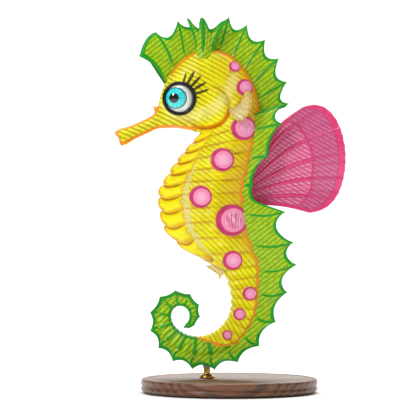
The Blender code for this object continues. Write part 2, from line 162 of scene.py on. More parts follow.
def bell(distance: Numbers, width: float) -> Array:
    """A bell curve.

    Args:
        distance: How far from its middle.
        width: Where it has fallen to about a third.

    Returns:
        1 in the middle, falling towards 0.
    """
    return np.exp(-((distance / width) ** 2))


def span(ends: Any, share: Any) -> Any:
    """What lies at a share of the way from the first of two ends to the last."""
    return ends[0] + (ends[1] - ends[0]) * share


def length(vectors: Array) -> Array:
    """How long each vector is."""
    return np.linalg.norm(vectors, axis=-1)


class Curve:
    """A smooth line through knots that never overshoots a value."""

    def __init__(self, knots: list[float], values: list) -> None:
        """Works out the slope at each knot.

        Args:
            knots: Rising places.
            values: A number or an equal number of numbers at each place.
        """
        self.knots = np.asarray(knots, float)
        self.values = np.asarray(values, float).reshape(len(self.knots), -1)
        step = np.diff(self.knots)[:, None]
        slope = np.diff(self.values, axis=0) / step
        before, after = slope[:-1], slope[1:]
        weight_before, weight_after = 2 * step[1:] + step[:-1], step[1:] + 2 * step[:-1]
        same_way = before * after > 0
        safe_before, safe_after = np.where(same_way, before, 1.0), np.where(same_way, after, 1.0)
        harmonic = (weight_before + weight_after) / (weight_before / safe_before + weight_after / safe_after)
        self.slopes = np.vstack([slope[:1], np.where(same_way, harmonic, 0.0), slope[-1:]])

    def __call__(self, at: Numbers) -> Array:
        """Reads the line.

        Args:
            at: Places along it.

        Returns:
            The values there, with the places' shape.
        """
        at = np.clip(np.asarray(at, float), self.knots[0], self.knots[-1])
        i = np.clip(np.searchsorted(self.knots, at, side="right") - 1, 0, len(self.knots) - 2)
        h = (self.knots[i + 1] - self.knots[i])[..., None]
        s = (at - self.knots[i])[..., None] / h
        found = (
            self.values[i] * (1 + 2 * s) * (1 - s) ** 2
            + self.slopes[i] * h * s * (1 - s) ** 2
            + self.values[i + 1] * s * s * (3 - 2 * s)
            + self.slopes[i + 1] * h * s * s * (s - 1)
        )
        return found if found.shape[-1] > 1 else found[..., 0]


def of_pairs(pairs: tuple) -> Curve:
    """A line through (place, value) pairs."""
    return Curve([p[0] for p in pairs], [p[1] for p in pairs])


def rolled(points: Array, marks: dict[Mark, Array]) -> bmesh.types.BMesh:
    """Rolls a grid into a closed tube with a cap at each end.

    Args:
        points: A table of (ring, place round it, 3).
        marks: What each attribute says at each point, as such a table.

    Returns:
        The mesh, in mm.
    """
    rings, around = points.shape[:2]
    bm = bmesh.new()
    bmesh.ops.create_grid(bm, x_segments=rings - 1, y_segments=around, size=0.5)
    layers = {bm.verts.layers.float_vector.new(mark.value): table.tolist() for mark, table in marks.items()}
    places = points.tolist()
    for vert in bm.verts:
        ring, place = round((vert.co.x + 0.5) * (rings - 1)), round((vert.co.y + 0.5) * around) % around
        vert.co = places[ring][place]
        for layer, table in layers.items():
            vert[layer] = Vector(table[ring][place])
    bmesh.ops.remove_doubles(bm, verts=bm.verts, dist=MERGE)
    bmesh.ops.holes_fill(bm, edges=[e for e in bm.edges if e.is_boundary], sides=0)
    return bm


def lathe(profile: Points, steps: int, x: float = 0.0) -> bmesh.types.BMesh:
    """Turns a profile round an upright axis.

    Args:
        profile: (radius, height) from the bottom to the top.
        steps: Faces in a turn.
        x: The axis' X.

    Returns:
        The closed mesh, in mm.
    """
    bm = bmesh.new()
    line = [bm.verts.new((x + radius, 0, height)) for radius, height in profile]
    edges = [bm.edges.new(pair) for pair in zip(line, line[1:])]
    turn = {"cent": (x, 0, 0), "axis": Z_AXIS, "angle": 2 * math.pi, "steps": steps, "use_merge": True}
    bmesh.ops.spin(bm, geom=line + edges, **turn)
    bmesh.ops.remove_doubles(bm, verts=bm.verts, dist=MERGE)
    bmesh.ops.holes_fill(bm, edges=[e for e in bm.edges if e.is_boundary], sides=0)
    return bm


def put_up(name: str, bm: bmesh.types.BMesh, finish: bpy.types.Material, slot: Slot, *nodes: str) -> bpy.types.Object:
    """Makes a finished piece of the part.

    Args:
        name: The piece's name.
        bm: Its mesh in mm, which is used up.
        finish: Its material.
        slot: The record's slot for that finish; not used.
        nodes: The CAD nodes that it stands for.

    Returns:
        The piece, which rides on the part's one body.
    """
    bmesh.ops.recalc_face_normals(bm, faces=bm.faces)
    bmesh.ops.scale(bm, vec=(MM, MM, MM), verts=bm.verts)
    mesh = bpy.data.meshes.new(name)
    bm.to_mesh(mesh)
    bm.free()
    mesh.shade_smooth()
    mesh.materials.append(finish)
    piece = bpy.data.objects.new(name, mesh)
    bpy.context.scene.collection.objects.link(piece)
    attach(piece, next(iter(frame["bodies"])))
    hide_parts(*nodes)
    LOG.info("%s: %d faces, for %s", name, len(mesh.polygons), ", ".join(nodes))
    return piece


class Graph:
    """A material's nodes. Its place is where a point lies on the object, in mm."""

    def __init__(self, name: str) -> None:
        """Starts a material with a Principled shader.

        Args:
            name: The real material and its surface.
        """
        self.material = bpy.data.materials.new(name)
        self.material.use_nodes = True
        self.tree = self.material.node_tree
        self.shader = self.tree.nodes["Principled BSDF"]
        self.place = self.add("VectorMath MULTIPLY", self.add("TexCoord").outputs["Object"], (PER_MM,) * 3)

    def add(self, kind: str, *sockets: Any, **settings: Any) -> bpy.types.Node:
        """Adds a node.

        Args:
            kind: Its type without the leading ShaderNode, and after a space its operation.
            sockets: As for feed.
            settings: The node's own properties.

        Returns:
            The node.
        """
        kind, _, operation = kind.partition(" ")
        made = self.tree.nodes.new(f"ShaderNode{kind}")
        if operation:
            made.operation = operation
        for name, value in settings.items():
            setattr(made, name, value)
        self.feed(made, *sockets)
        return made

    def feed(self, node: bpy.types.Node, *sockets: Any) -> None:
        """Sets or links a node's inputs.

        Args:
            node: The node.
            sockets: What goes into its inputs in turn, or one dict that names them: a value, a hex colour, or the
                node or output that feeds it.
        """
        inputs = sockets[0] if sockets and isinstance(sockets[0], dict) else dict(enumerate(sockets))
        for name, value in inputs.items():
            if isinstance(value, str):
                value = srgb(value)
            if isinstance(value, bpy.types.Node):
                value = next(o for o in value.outputs if o.enabled)
            if isinstance(value, bpy.types.NodeSocket):
                self.tree.links.new(value, node.inputs[name])
            else:
                node.inputs[name].default_value = value

    def mark(self, mark: Mark) -> list[bpy.types.NodeSocket]:
        """Reads one of the mesh's attributes as its three numbers."""
        vector = self.add("Attribute", attribute_name=mark.value).outputs["Vector"]
        return list(self.add("SeparateXYZ", vector).outputs)

    def mask(self, *parts: Any, join: str = "MULTIPLY") -> Any:
        """Makes a mask from parts.

        Args:
            parts: Values, nodes, or (node, low, high), a soft threshold that is 0 at low and 1 at high.
            join: The operation that joins them.

        Returns:
            The node with the result.
        """
        found = None
        for part in parts:
            if isinstance(part, tuple):
                limits = dict(zip(("Value", "From Min", "From Max"), part))
                part = self.add("MapRange", limits, interpolation_type="SMOOTHSTEP")
            found = part if found is None else self.add(f"Math {join}", found, part)
        return found

    def waves(self, along: Any, pitch: float, wobble: Any = 0.0, push: float = 0.0) -> bpy.types.Node:
        """Makes waves.

        Args:
            along: The measure that they follow.
            pitch: How much of it one wave takes.
            wobble: A pattern that pushes them out of line.
            push: How far it pushes, in radians.

        Returns:
            The node, from -1 to 1.
        """
        steady = self.add("Math MULTIPLY", along, 2 * math.pi / pitch)
        return self.add("Math SINE", self.add("Math MULTIPLY_ADD", wobble, push, steady))

    def layered(self, base: Any, *layers: tuple) -> Any:
        """Lays colours over each other.

        Args:
            base: The undermost colour, or its node.
            layers: From the bottom up, each a colour with the parts of its mask.

        Returns:
            The node with the result.
        """
        for colour, *parts in layers:
            base = self.add("Mix", {0: self.mask(*parts), 6: base, 7: colour}, data_type="RGBA")
        return base

    def dressed(self, colour: Any, gloss: Any, *reliefs: tuple, **settings: Any) -> bpy.types.Material:
        """Feeds the shader.

        Args:
            colour: The colour's node.
            gloss: The roughness, or a pattern with the roughness where it is weak and where it is strong.
            reliefs: The node of a height, its strength and its depth in mm, the lowest first.
            settings: The shader's other sockets, in small letters with _ for a space.

        Returns:
            The material.
        """
        if isinstance(gloss, tuple):
            names = ("Value", "To Min", "To Max")
            gloss = self.add("MapRange", {"From Min": 0.3, "From Max": 0.7, **dict(zip(names, gloss))})
        sockets = {"Base Color": colour, "Roughness": gloss}
        for height, strength, depth in reliefs:
            below = {"Normal": sockets["Normal"]} if "Normal" in sockets else {}
            relief = {"Strength": strength, "Distance": depth * MM, "Height": height, **below}
            sockets["Normal"] = self.add("Bump", relief)
        named = {socket.name.lower().replace(" ", "_"): socket.name for socket in self.shader.inputs}
        self.feed(self.shader, sockets | {named[name]: value for name, value in settings.items()})
        return self.material


@dataclass(frozen=True)
class SkinFinish:
    """Hand-painted cast resin with a satin varnish: clear, even colours with soft edges and a low broad gloss."""

    yellow: str = "#F2EA00"
    deep_yellow: str = "#ECDC00"
    amber: str = "#E2B004"
    olive: str = "#6B6C0A"
    cream: str = "#EDE48E"
    cream_stroke: str = "#BBA93E"
    plate: str = "#F1E600"
    plate_shade: str = "#E6BC08"
    plate_line: str = "#DE9E0C"
    groove: str = "#C48610"
    orange: str = "#EC8E0C"
    leaf: str = "#A4D60C"
    green: str = "#149A16"
    pink: str = "#EF8DB6"
    # the painted highlight in the middle of each spot
    pale_pink: str = "#F6B0CF"
    magenta: str = "#C6356A"
    black: str = "#17140F"
    mouth: str = "#8A3A22"
    line_centre: Triple = (-82.0, 0.0, -28.0)  # the fine lines are arcs about this point
    line_pitch: float = 1.45
    tail_slant: Triple = (-0.7, 0.0, 0.71)  # across the tail's lines
    eye_middle: Triple = (EYE[0], 0.0, EYE[2])
    streaks: int = 24  # to a turn of the eye, of which six are long enough to show
    streak_reach: Pair = (5.6, 5.2)  # from the eye's middle, and how much further up and back
    grain: float = 0.55  # mm, the skin's own grain, drawn a little coarser than life so that it shows

    def material(self) -> bpy.types.Material:
        """Paints the body.

        Returns:
            The material.
        """
        g = Graph("painted_resin_skin_satin")
        station, angle, relief = g.mark(Mark.ALONG)
        back_line, jaw_line, plate_edge = g.mark(Mark.LINES)
        cheek, eye, past_turn = g.mark(Mark.FACE)
        spot, spot_inside, spot_radius = g.mark(Mark.SPOTS)
        above_keel, among_plates, gill_edge = g.mark(Mark.EDGES)
        clouds = g.add("TexNoise", {"Vector": g.place, "Scale": 0.16, "Detail": 3.0})
        mottle = g.add("TexNoise", {"Vector": g.place, "Scale": 0.9, "Detail": 4.0})
        wobble = g.add("Math SUBTRACT", mottle, 0.5)

        # The fine olive lines run slanting down the body in arcs and break up here and there.
        flat = g.add("VectorMath MULTIPLY", g.place, (1.0, 0.0, 1.0))
        wave = g.waves(g.add("VectorMath DISTANCE", flat, self.line_centre), self.line_pitch, wobble, 2.6)
        denser = g.add("Math MULTIPLY_ADD", g.mask((station, -3.0, -8.0)), 0.45, wave)
        line = g.mask((denser, 0.0, 0.75), (clouds, 0.25, 0.5))
        strength = {"Value": station, "From Min": -7.0, "From Max": -1.0, "To Min": 0.6, "To Max": 0.42}

        # Amber lies on the back and upper flank, from the nape to the first third of the tail.
        narrower = g.add("Math MULTIPLY_ADD", g.mask((station, 8.5, 12.0)), 36.0, angle)
        upper = g.add("Math MULTIPLY_ADD", clouds, 46.0, narrower)
        # The pale band curves round the cheek, made of short strokes along the fine lines.
        stroke = g.add("Math MULTIPLY_ADD", wave, 0.45, cheek)

        # A pale line edges the belly plates, widest in the middle of the trunk, with faint cross strokes.
        pale_width = g.mask((station, 2.0, 6.6), (station, 11.2, 8.6), 2.3)
        past_pale = g.add("Math ADD", plate_edge, pale_width)
        slanted = g.add("Math MULTIPLY_ADD", plate_edge, 0.11, station)
        cross = g.waves(slanted, 1 / 7, wobble, 1.6)
        cream = g.layered(self.cream, (self.cream_stroke, (cross, -0.2, 1.0), 0.8))

        # Belly plates are bright, with amber along their edge and towards the grooves between them: a thin line at the
        # top of each plate, and painted shade over its lower part, where it curves into the groove below.
        plates = g.mask((plate_edge, -0.1, 0.15), (station, 0.0, 0.25), (station, 11.0, 10.7))
        down_plate = g.add("Math WRAP", among_plates, 0.0, 1.0)
        to_groove = g.add("Math PINGPONG", among_plates, 0.5)
        shade = g.mask((down_plate, 0.66, 0.88), (down_plate, 0.12, 0.04), (plate_edge, 1.1, 0.1), join="MAXIMUM")
        plate = g.layered(self.plate, (self.plate_shade, shade))

        # The tail's end turns green, first on the back and last on the inside of the bend.
        turned = g.add("Math MULTIPLY_ADD", wobble, 0.3, past_turn)
        tail = g.mask((turned, 0.0, 0.25))
        tail_wave = g.waves(g.add("VectorMath DOT_PRODUCT", g.place, self.tail_slant), self.line_pitch, wobble, 2.2)
        leaf = g.layered(self.leaf, (self.olive, (tail_wave, 0.1, 0.8), 0.7))
        from_spine = g.add("Math PINGPONG", g.add("Math SUBTRACT", station, 1.5), 1.0)
        ray = g.mask((from_spine, 0.34, 0.2), 0.9)
        dark = g.mask((angle, 128.0, 140.0), (angle, 50.0, 40.0), (above_keel, 1.15, 0.9), ray, join="MAXIMUM")

        # Round spots have a thick rim, thickest in front, and a paler middle, a painted highlight on each spot's dome;
        # the largest are hatched in the middle.
        rim = g.mask((spot, 0.05, -0.1))
        pinks = g.layered(self.pink, (self.pale_pink, (spot_inside, -0.4, -2.2)))
        long = g.add("Mapping", {"Vector": g.place, "Rotation": (0.0, 0.5, 0.0), "Scale": (2.4, 1.0, 0.35)})
        hatching = g.add("TexNoise", {"Vector": long, "Scale": 1.0, "Detail": 2.0})

        # The ring of skin round the eye is black, and fine dark strokes spread from it, longest up and back.
        from_eye = g.add("SeparateXYZ", g.add("VectorMath SUBTRACT", g.place, self.eye_middle)).outputs
        bearing = g.add("Math ARCTAN2", from_eye["Z"], from_eye["X"])
        fan = g.waves(bearing, 2 * math.pi / self.streaks, mottle, 2.0)
        to_rear = g.add("Math COSINE", g.add("Math SUBTRACT", bearing, 0.75))
        least, more = self.streak_reach
        reach = g.add("Math MULTIPLY_ADD", g.mask((to_rear, 0.66, 0.93)), more, least)
        from_end = g.add("Math SUBTRACT", reach, eye)
        thin = {"Value": from_end, "From Min": 0.0, "From Max": 3.4, "To Min": 1.0, "To Max": -0.1}
        streak = g.add("Math SUBTRACT", fan, g.add("MapRange", thin))
        ring = g.mask((eye, 5.95, 5.75))

        not_tail = (tail, 1.0, 0.0)
        colour = g.layered(
            self.yellow,
            (self.deep_yellow, (clouds, 0.35, 0.65)),
            (self.amber, (upper, 126.0, 72.0), (station, -4.6, -1.0), (station, 22.0, 15.0), 0.85),
            (self.olive, line, g.add("MapRange", strength)),
            (self.cream, (stroke, 2.9, 0.9), 0.48),
            (cream, (past_pale, -0.15, 0.25), (plate_edge, 0.15, -0.15), (station, 2.0, 3.0)),
            (plate, plates),
            (self.plate_line, plates, (above_keel, 0.95, 0.4), 0.85),
            (self.groove, plates, (to_groove, 0.06, 0.025)),
            (leaf, tail),
            (self.green, tail, dark),
            (self.orange, (turned, -0.6, -0.4), (turned, 0.2, 0.0)),
            # Painted shade darkens the hollow joints between the rings, and a painted highlight lightens the tops of
            # the knobs on their ridges.
            (self.groove, (relief, -0.05, -0.5), not_tail, 0.5),
            (self.yellow, (relief, 1.2, 2.2), (plate_edge, 0.0, -0.4), not_tail, 0.5),
            # Painted shade darkens the groove behind and under the gill covers.
            (self.groove, (gill_edge, 0.75, 0.1), 0.55),
            # Orange lines run along the back and under the jaw, and round the lips.
            (self.orange, (back_line, 1.1, 0.85), (turned, 0.2, 0.0)),
            (self.orange, (jaw_line, 0.62, 0.42)),
            (self.orange, (station, -14.45, -14.75)),
            # A thin amber outline of painted shade lies round each spot's foot, just outside its raised rim.
            (self.groove, (spot, 0.5, 0.1), 0.4),
            (self.magenta, rim),
            (pinks, (spot_inside, 0.05, -0.15)),
            (self.magenta, (hatching, 0.45, 0.54), (spot_inside, -0.7, -1.7), (spot_radius, 4.1, 4.3), 0.8),
            (self.black, (streak, -0.25, 0.1), (from_end, 0.0, 0.7), 0.92),
            (self.black, ring),
            (self.mouth, (station, -15.25, -15.45)),
        )
        # Real skin has a fine leathery grain, and the varnish pools a little, so the gloss varies.
        cells = g.add("TexVoronoi", {"Vector": g.place, "Scale": 1 / self.grain}, feature="SMOOTH_F1")
        fine = g.add("TexNoise", {"Vector": g.place, "Scale": 0.5 / self.grain, "Detail": 5.0})
        smooth = g.mask(rim, ring, join="MAXIMUM")
        height = g.mask(g.add("Math MULTIPLY_ADD", cells, 0.5, fine), g.add("Math MULTIPLY_ADD", smooth, -0.8, 1.0))
        satin = {"Value": mottle, "From Min": 0.3, "From Max": 0.7, "To Min": 0.3, "To Max": 0.46}
        gloss = g.add("Mix", {0: smooth, 2: g.add("MapRange", satin), 3: 0.28})
        return g.dressed(
            colour, gloss, (height, 0.4, 0.08), (g.mask(line, (ring, 1.0, 0.0)), 0.5, 0.05), ior=1.5,
            specular_ior_level=0.32, subsurface_weight=0.06, subsurface_scale=1.2 * MM,
            subsurface_radius=(1.0, 0.6, 0.2),
        )


@dataclass(frozen=True)
class CrestFinish:
    """Tinted resin sheet cast thin: a soft gloss, some light inside it, darker where rays and margin thicken it."""

    leaf: str = "#AACE12"
    shade: str = "#90BA08"
    olive: str = "#6C8406"
    green: str = "#149A1A"
    dark: str = "#0B7416"
    slant: Triple = (-0.62, 0.0, 0.78)  # across the fine lines
    line_pitch: float = 1.35
    margin: float = 1.2
    ray: Pair = (0.38, 0.95)  # half a ray's width at the foot and at the tip

    def material(self) -> bpy.types.Material:
        """Tints the web.

        Returns:
            The material.
        """
        g = Graph("cast_resin_web_green")
        to_margin, to_ray, out = g.mark(Mark.WEB)
        mottle = g.add("TexNoise", {"Vector": g.place, "Scale": 0.8, "Detail": 4.0})
        wobble = g.add("Math SUBTRACT", mottle, 0.5)
        wave = g.waves(g.add("VectorMath DOT_PRODUCT", g.place, self.slant), self.line_pitch, wobble, 2.2)
        line = g.mask((wave, 0.1, 0.85), 0.75)
        margin_edge = g.add("Math MULTIPLY_ADD", wobble, 0.35, to_margin)
        ray_edge = g.add("Math MULTIPLY_ADD", wobble, 0.25, to_ray)
        ray_width = g.add("MapRange", {"Value": out, "To Min": self.ray[0], "To Max": self.ray[1]})
        ray = g.mask((g.add("Math SUBTRACT", ray_width, ray_edge), 0.0, 0.14), (out, 0.06, 0.2))
        colour = g.layered(
            self.leaf,
            (self.shade, (mottle, 0.4, 0.62)),
            (self.olive, line),
            (self.green, g.mask((margin_edge, self.margin, self.margin - 0.22), ray, join="MAXIMUM")),
            (self.dark, (to_margin, 0.4, 0.05)),
        )
        fine = g.add("TexNoise", {"Vector": g.place, "Scale": 1.8, "Detail": 5.0})
        height = g.add("Math MULTIPLY_ADD", line, 0.6, fine)
        return g.dressed(
            colour, (mottle, 0.3, 0.44), (height, 0.4, 0.06), ior=1.5, specular_ior_level=0.32,
            subsurface_weight=0.15, subsurface_scale=1.0 * MM, subsurface_radius=(0.6, 1.0, 0.2),
        )


@dataclass(frozen=True)
class FinFinish:
    """Tinted resin film over finer rays: glossier and thinner than the crest, with a darker band outside."""

    name: str = "cast_resin_film_pink"
    film: str = "#D45A8D"
    pale: str = "#EEA6C5"
    band: str = "#CF6795"
    streak: str = "#8E2A60"
    ray_colour: str = "#CC2F6C"
    margin_colour: str = "#DE3C78"
    slant: Triple = (0.5, 0.0, 0.87)  # across the stripes
    stripe: float = 1.3
    band_from: float = 0.66  # share of the way out
    margin: float = 2.3
    ray: float = 0.3
    fine_ray: float = 0.5  # how strongly the fine rays are painted
    clearness: float = 0.0

    def material(self) -> bpy.types.Material:
        """Tints the film.

        Returns:
            The material.
        """
        g = Graph(self.name)
        to_margin, to_ray, out = g.mark(Mark.WEB)
        mottle = g.add("TexNoise", {"Vector": g.place, "Scale": 0.7, "Detail": 4.0})
        wobble = g.add("Math SUBTRACT", mottle, 0.5)
        wave = g.waves(g.add("VectorMath DOT_PRODUCT", g.place, self.slant), self.stripe, wobble, 2.0)
        stripe = g.mask((wave, 0.1, 0.9))
        edge, margin = self.band_from, self.margin
        zone = g.add("Math MULTIPLY_ADD", wobble, 0.02, out)
        band = g.mask((zone, edge - 0.008, edge + 0.008))
        inside = (out, edge + 0.06, edge - 0.04)
        colour = g.layered(
            g.layered(self.film, (self.pale, stripe, 0.75)),
            (g.layered(self.band, (self.streak, stripe, 0.62)), band),
            (self.ray_colour, band, (zone, edge + 0.03, edge + 0.018), 0.85),
            (self.ray_colour, (to_ray, self.ray, self.ray - 0.12), self.fine_ray),
            (self.streak, (to_ray, 0.0, -0.06), inside, 0.8),
            (self.margin_colour, (to_ray, -0.16, -0.26), inside),
            (self.streak, (to_margin, margin + 0.35, margin + 0.1), 0.5),
            (self.margin_colour, (to_margin, margin, margin - 0.25)),
            (self.streak, (to_margin, 0.35, 0.0), 0.4),
        )
        fine = g.add("TexNoise", {"Vector": g.place, "Scale": 2.4, "Detail": 4.0})
        return g.dressed(
            colour, (mottle, 0.24, 0.36), (fine, 0.3, 0.04), ior=1.5, subsurface_weight=0.15,
            subsurface_scale=1.0 * MM, subsurface_radius=(1.0, 0.4, 0.5), transmission_weight=self.clearness,
        )


@dataclass(frozen=True)
class EyeFinish:
    """A cast glass eye: the painted iris lies under a deep, very smooth surface with sharp reflections."""

    iris: str = "#0CDCE0"
    iris_dark: str = "#0792A2"
    iris_light: str = "#86F2EE"
    iris_border: str = "#0B2C33"
    white: str = "#EDF1E6"
    vein: str = "#B9C9B4"
    pupil: str = "#050505"
    centre: Triple = EYE
    gaze: Triple = (-0.52, 0.85, 0.03)
    pupil_radius: float = 1.7
    iris_radius: float = 3.55
    border: float = 0.22

    def material(self) -> bpy.types.Material:
        """Paints both eyes, which mirror each other.

        Returns:
            The material.
        """
        g = Graph("cast_glass_eye_polished")
        gaze = tuple(Vector(self.gaze).normalized())
        x, y, z = g.add("SeparateXYZ", g.place).outputs
        mirrored = g.add("CombineXYZ", x, g.add("Math ABSOLUTE", y), z)
        local = g.add("VectorMath SUBTRACT", mirrored, self.centre)
        ahead = g.add("VectorMath DOT_PRODUCT", local, gaze)
        along_gaze = g.add("VectorMath SCALE", {0: gaze, "Scale": ahead})
        sideways = g.add("VectorMath SUBTRACT", local, along_gaze)
        distance = g.add("VectorMath LENGTH", sideways)
        split = g.add("SeparateXYZ", sideways).outputs
        bearing = g.add("Math ARCTAN2", split["Z"], split["X"])
        spoke_place = g.add("CombineXYZ", g.mask(bearing, 6.0), g.mask(distance, 0.35))
        spokes = g.add("TexNoise", {"Vector": spoke_place, "Scale": 1.6, "Detail": 4.0})
        pupil, edge = self.pupil_radius, self.iris_radius
        depth = g.mask((distance, pupil, edge))
        iris = g.layered(
            self.iris,
            (self.iris_dark, (depth, 0.75, 1.0), 0.85),
            (self.iris_light, (spokes, 0.5, 0.72), 0.7),
            (self.iris_dark, (spokes, 0.46, 0.3), 0.55),
        )
        colour = g.layered(
            self.white,
            (self.vein, (spokes, 0.5, 0.75), 0.25),
            (iris, (distance, edge, edge - 0.08)),
            (self.iris_border, (distance, edge + self.border, edge + 0.1), (distance, edge - 0.12, edge)),
            (self.pupil, (distance, pupil + 0.05, pupil - 0.05)),
        )
        dots = g.add("TexNoise", {"Vector": g.place, "Scale": 3.0, "Detail": 2.0})
        return g.dressed(colour, (dots, 0.05, 0.09), ior=1.52, coat_weight=1.0, coat_roughness=0.02)


@dataclass(frozen=True)
class WalnutFinish:
    """Turned walnut, oiled: a satin surface with brown growth bands and fine dark pores."""

    dark: str = "#3A2113"
    light: str = "#77492A"
    pore: str = "#26140B"
    lie: Triple = (0.0, 0.06, 0.35)  # how the grain lies, in radians
    band: float = 2.2  # mm between growth bands
    pith: Triple = (0.0, 11.0, -22.0)  # the middle of the growth rings, in mm

    def material(self) -> bpy.types.Material:
        """Grains the base.

        Returns:
            The material.
        """
        g = Graph("turned_walnut_oiled")
        drawn, fine = (
            g.add("Mapping", {"Vector": g.place, "Rotation": self.lie, "Scale": scale})
            for scale in ((0.08, 1.0, 1.0), (0.25, 4.0, 4.0))
        )
        bend = g.add("TexNoise", {"Vector": drawn, "Scale": 0.22, "Detail": 3.0})
        wave = g.waves(g.add("VectorMath DISTANCE", drawn, self.pith), self.band, bend, 14.0)
        pores = g.add("TexNoise", {"Vector": fine, "Scale": 1.0, "Detail": 3.0})
        pore = g.mask((pores, 0.56, 0.68))
        colour = g.layered(self.light, (self.dark, (wave, -0.6, 1.0), 0.8), (self.pore, pore, 0.6))
        satin = {"Value": pores, "From Min": 0.35, "From Max": 0.7, "To Min": 0.3, "To Max": 0.5}
        cut = (g.mask(pore, -1.0), 0.4, 0.05)
        return g.dressed(colour, g.add("MapRange", satin), cut, ior=1.5, coat_weight=0.15, coat_roughness=0.25)


@dataclass(frozen=True)
class BrassFinish:
    """Turned brass, lacquered: warm and bright, with fine rings from the lathe that spread its highlights."""

    colour: str = "#D9A94E"
    tarnish: str = "#A87A30"
    ring: float = 0.16  # mm between tool marks, drawn coarser than life so that they show

    def material(self) -> bpy.types.Material:
        """Turns the brass.

        Returns:
            The material.
        """
        g = Graph("turned_brass_lacquered")
        mottle = g.add("TexNoise", {"Vector": g.place, "Scale": 0.9, "Detail": 4.0})
        rings = g.waves(g.add("SeparateXYZ", g.place).outputs["Z"], self.ring)
        colour = g.layered(self.colour, (self.tarnish, (mottle, 0.45, 0.7), 0.5))
        return g.dressed(colour, (mottle, 0.18, 0.32), (rings, 0.15, 0.01), metallic=1.0)


@dataclass(frozen=True)
class FeltFinish:
    """Pressed wool felt: matt and slightly fuzzy."""

    colour: str = "#2C3A2A"
    light: str = "#4A5A45"

    def material(self) -> bpy.types.Material:
        """Presses the felt.

        Returns:
            The material.
        """
        g = Graph("pressed_wool_felt")
        fibres = g.add("TexNoise", {"Vector": g.place, "Scale": 3.0, "Detail": 6.0, "Distortion": 1.5})
        colour = g.layered(self.colour, (self.light, (fibres, 0.4, 0.7)))
        return g.dressed(colour, 0.95, (fibres, 0.7, 0.1), sheen_weight=0.3)


@dataclass(frozen=True)
class SleeveFinish:
    """Moulded silicone, clear and greyish: soft looking, with a broad dull gloss."""

    colour: str = "#C9CCC6"
    shade: str = "#9EA39B"

    def material(self) -> bpy.types.Material:
        """Moulds the sleeve.

        Returns:
            The material.
        """
        g = Graph("moulded_silicone_clear")
        haze = g.add("TexNoise", {"Vector": g.place, "Scale": 2.0, "Detail": 3.0})
        colour = g.layered(self.colour, (self.shade, haze, 0.3))
        return g.dressed(colour, (haze, 0.35, 0.5), ior=1.41, subsurface_weight=0.3, subsurface_scale=0.8 * MM)


@dataclass(frozen=True)
class PaperFinish:
    """Matt background paper: nearly white, with hardly any gloss."""

    colour: str = "#F6F6F4"
    shade: str = "#E4E4E0"

    def material(self) -> bpy.types.Material:
        """Rolls the paper.

        Returns:
            The material.
        """
        g = Graph("matt_paper_sweep")
        fibres = g.add("TexNoise", {"Vector": g.place, "Scale": 0.9, "Detail": 2.0})
        matt = g.add("MapRange", {"Value": fibres, "To Min": 0.85, "To Max": 0.95})
        return g.dressed(g.layered(self.colour, (self.shade, fibres, 0.06)), matt, specular_ior_level=0.2)


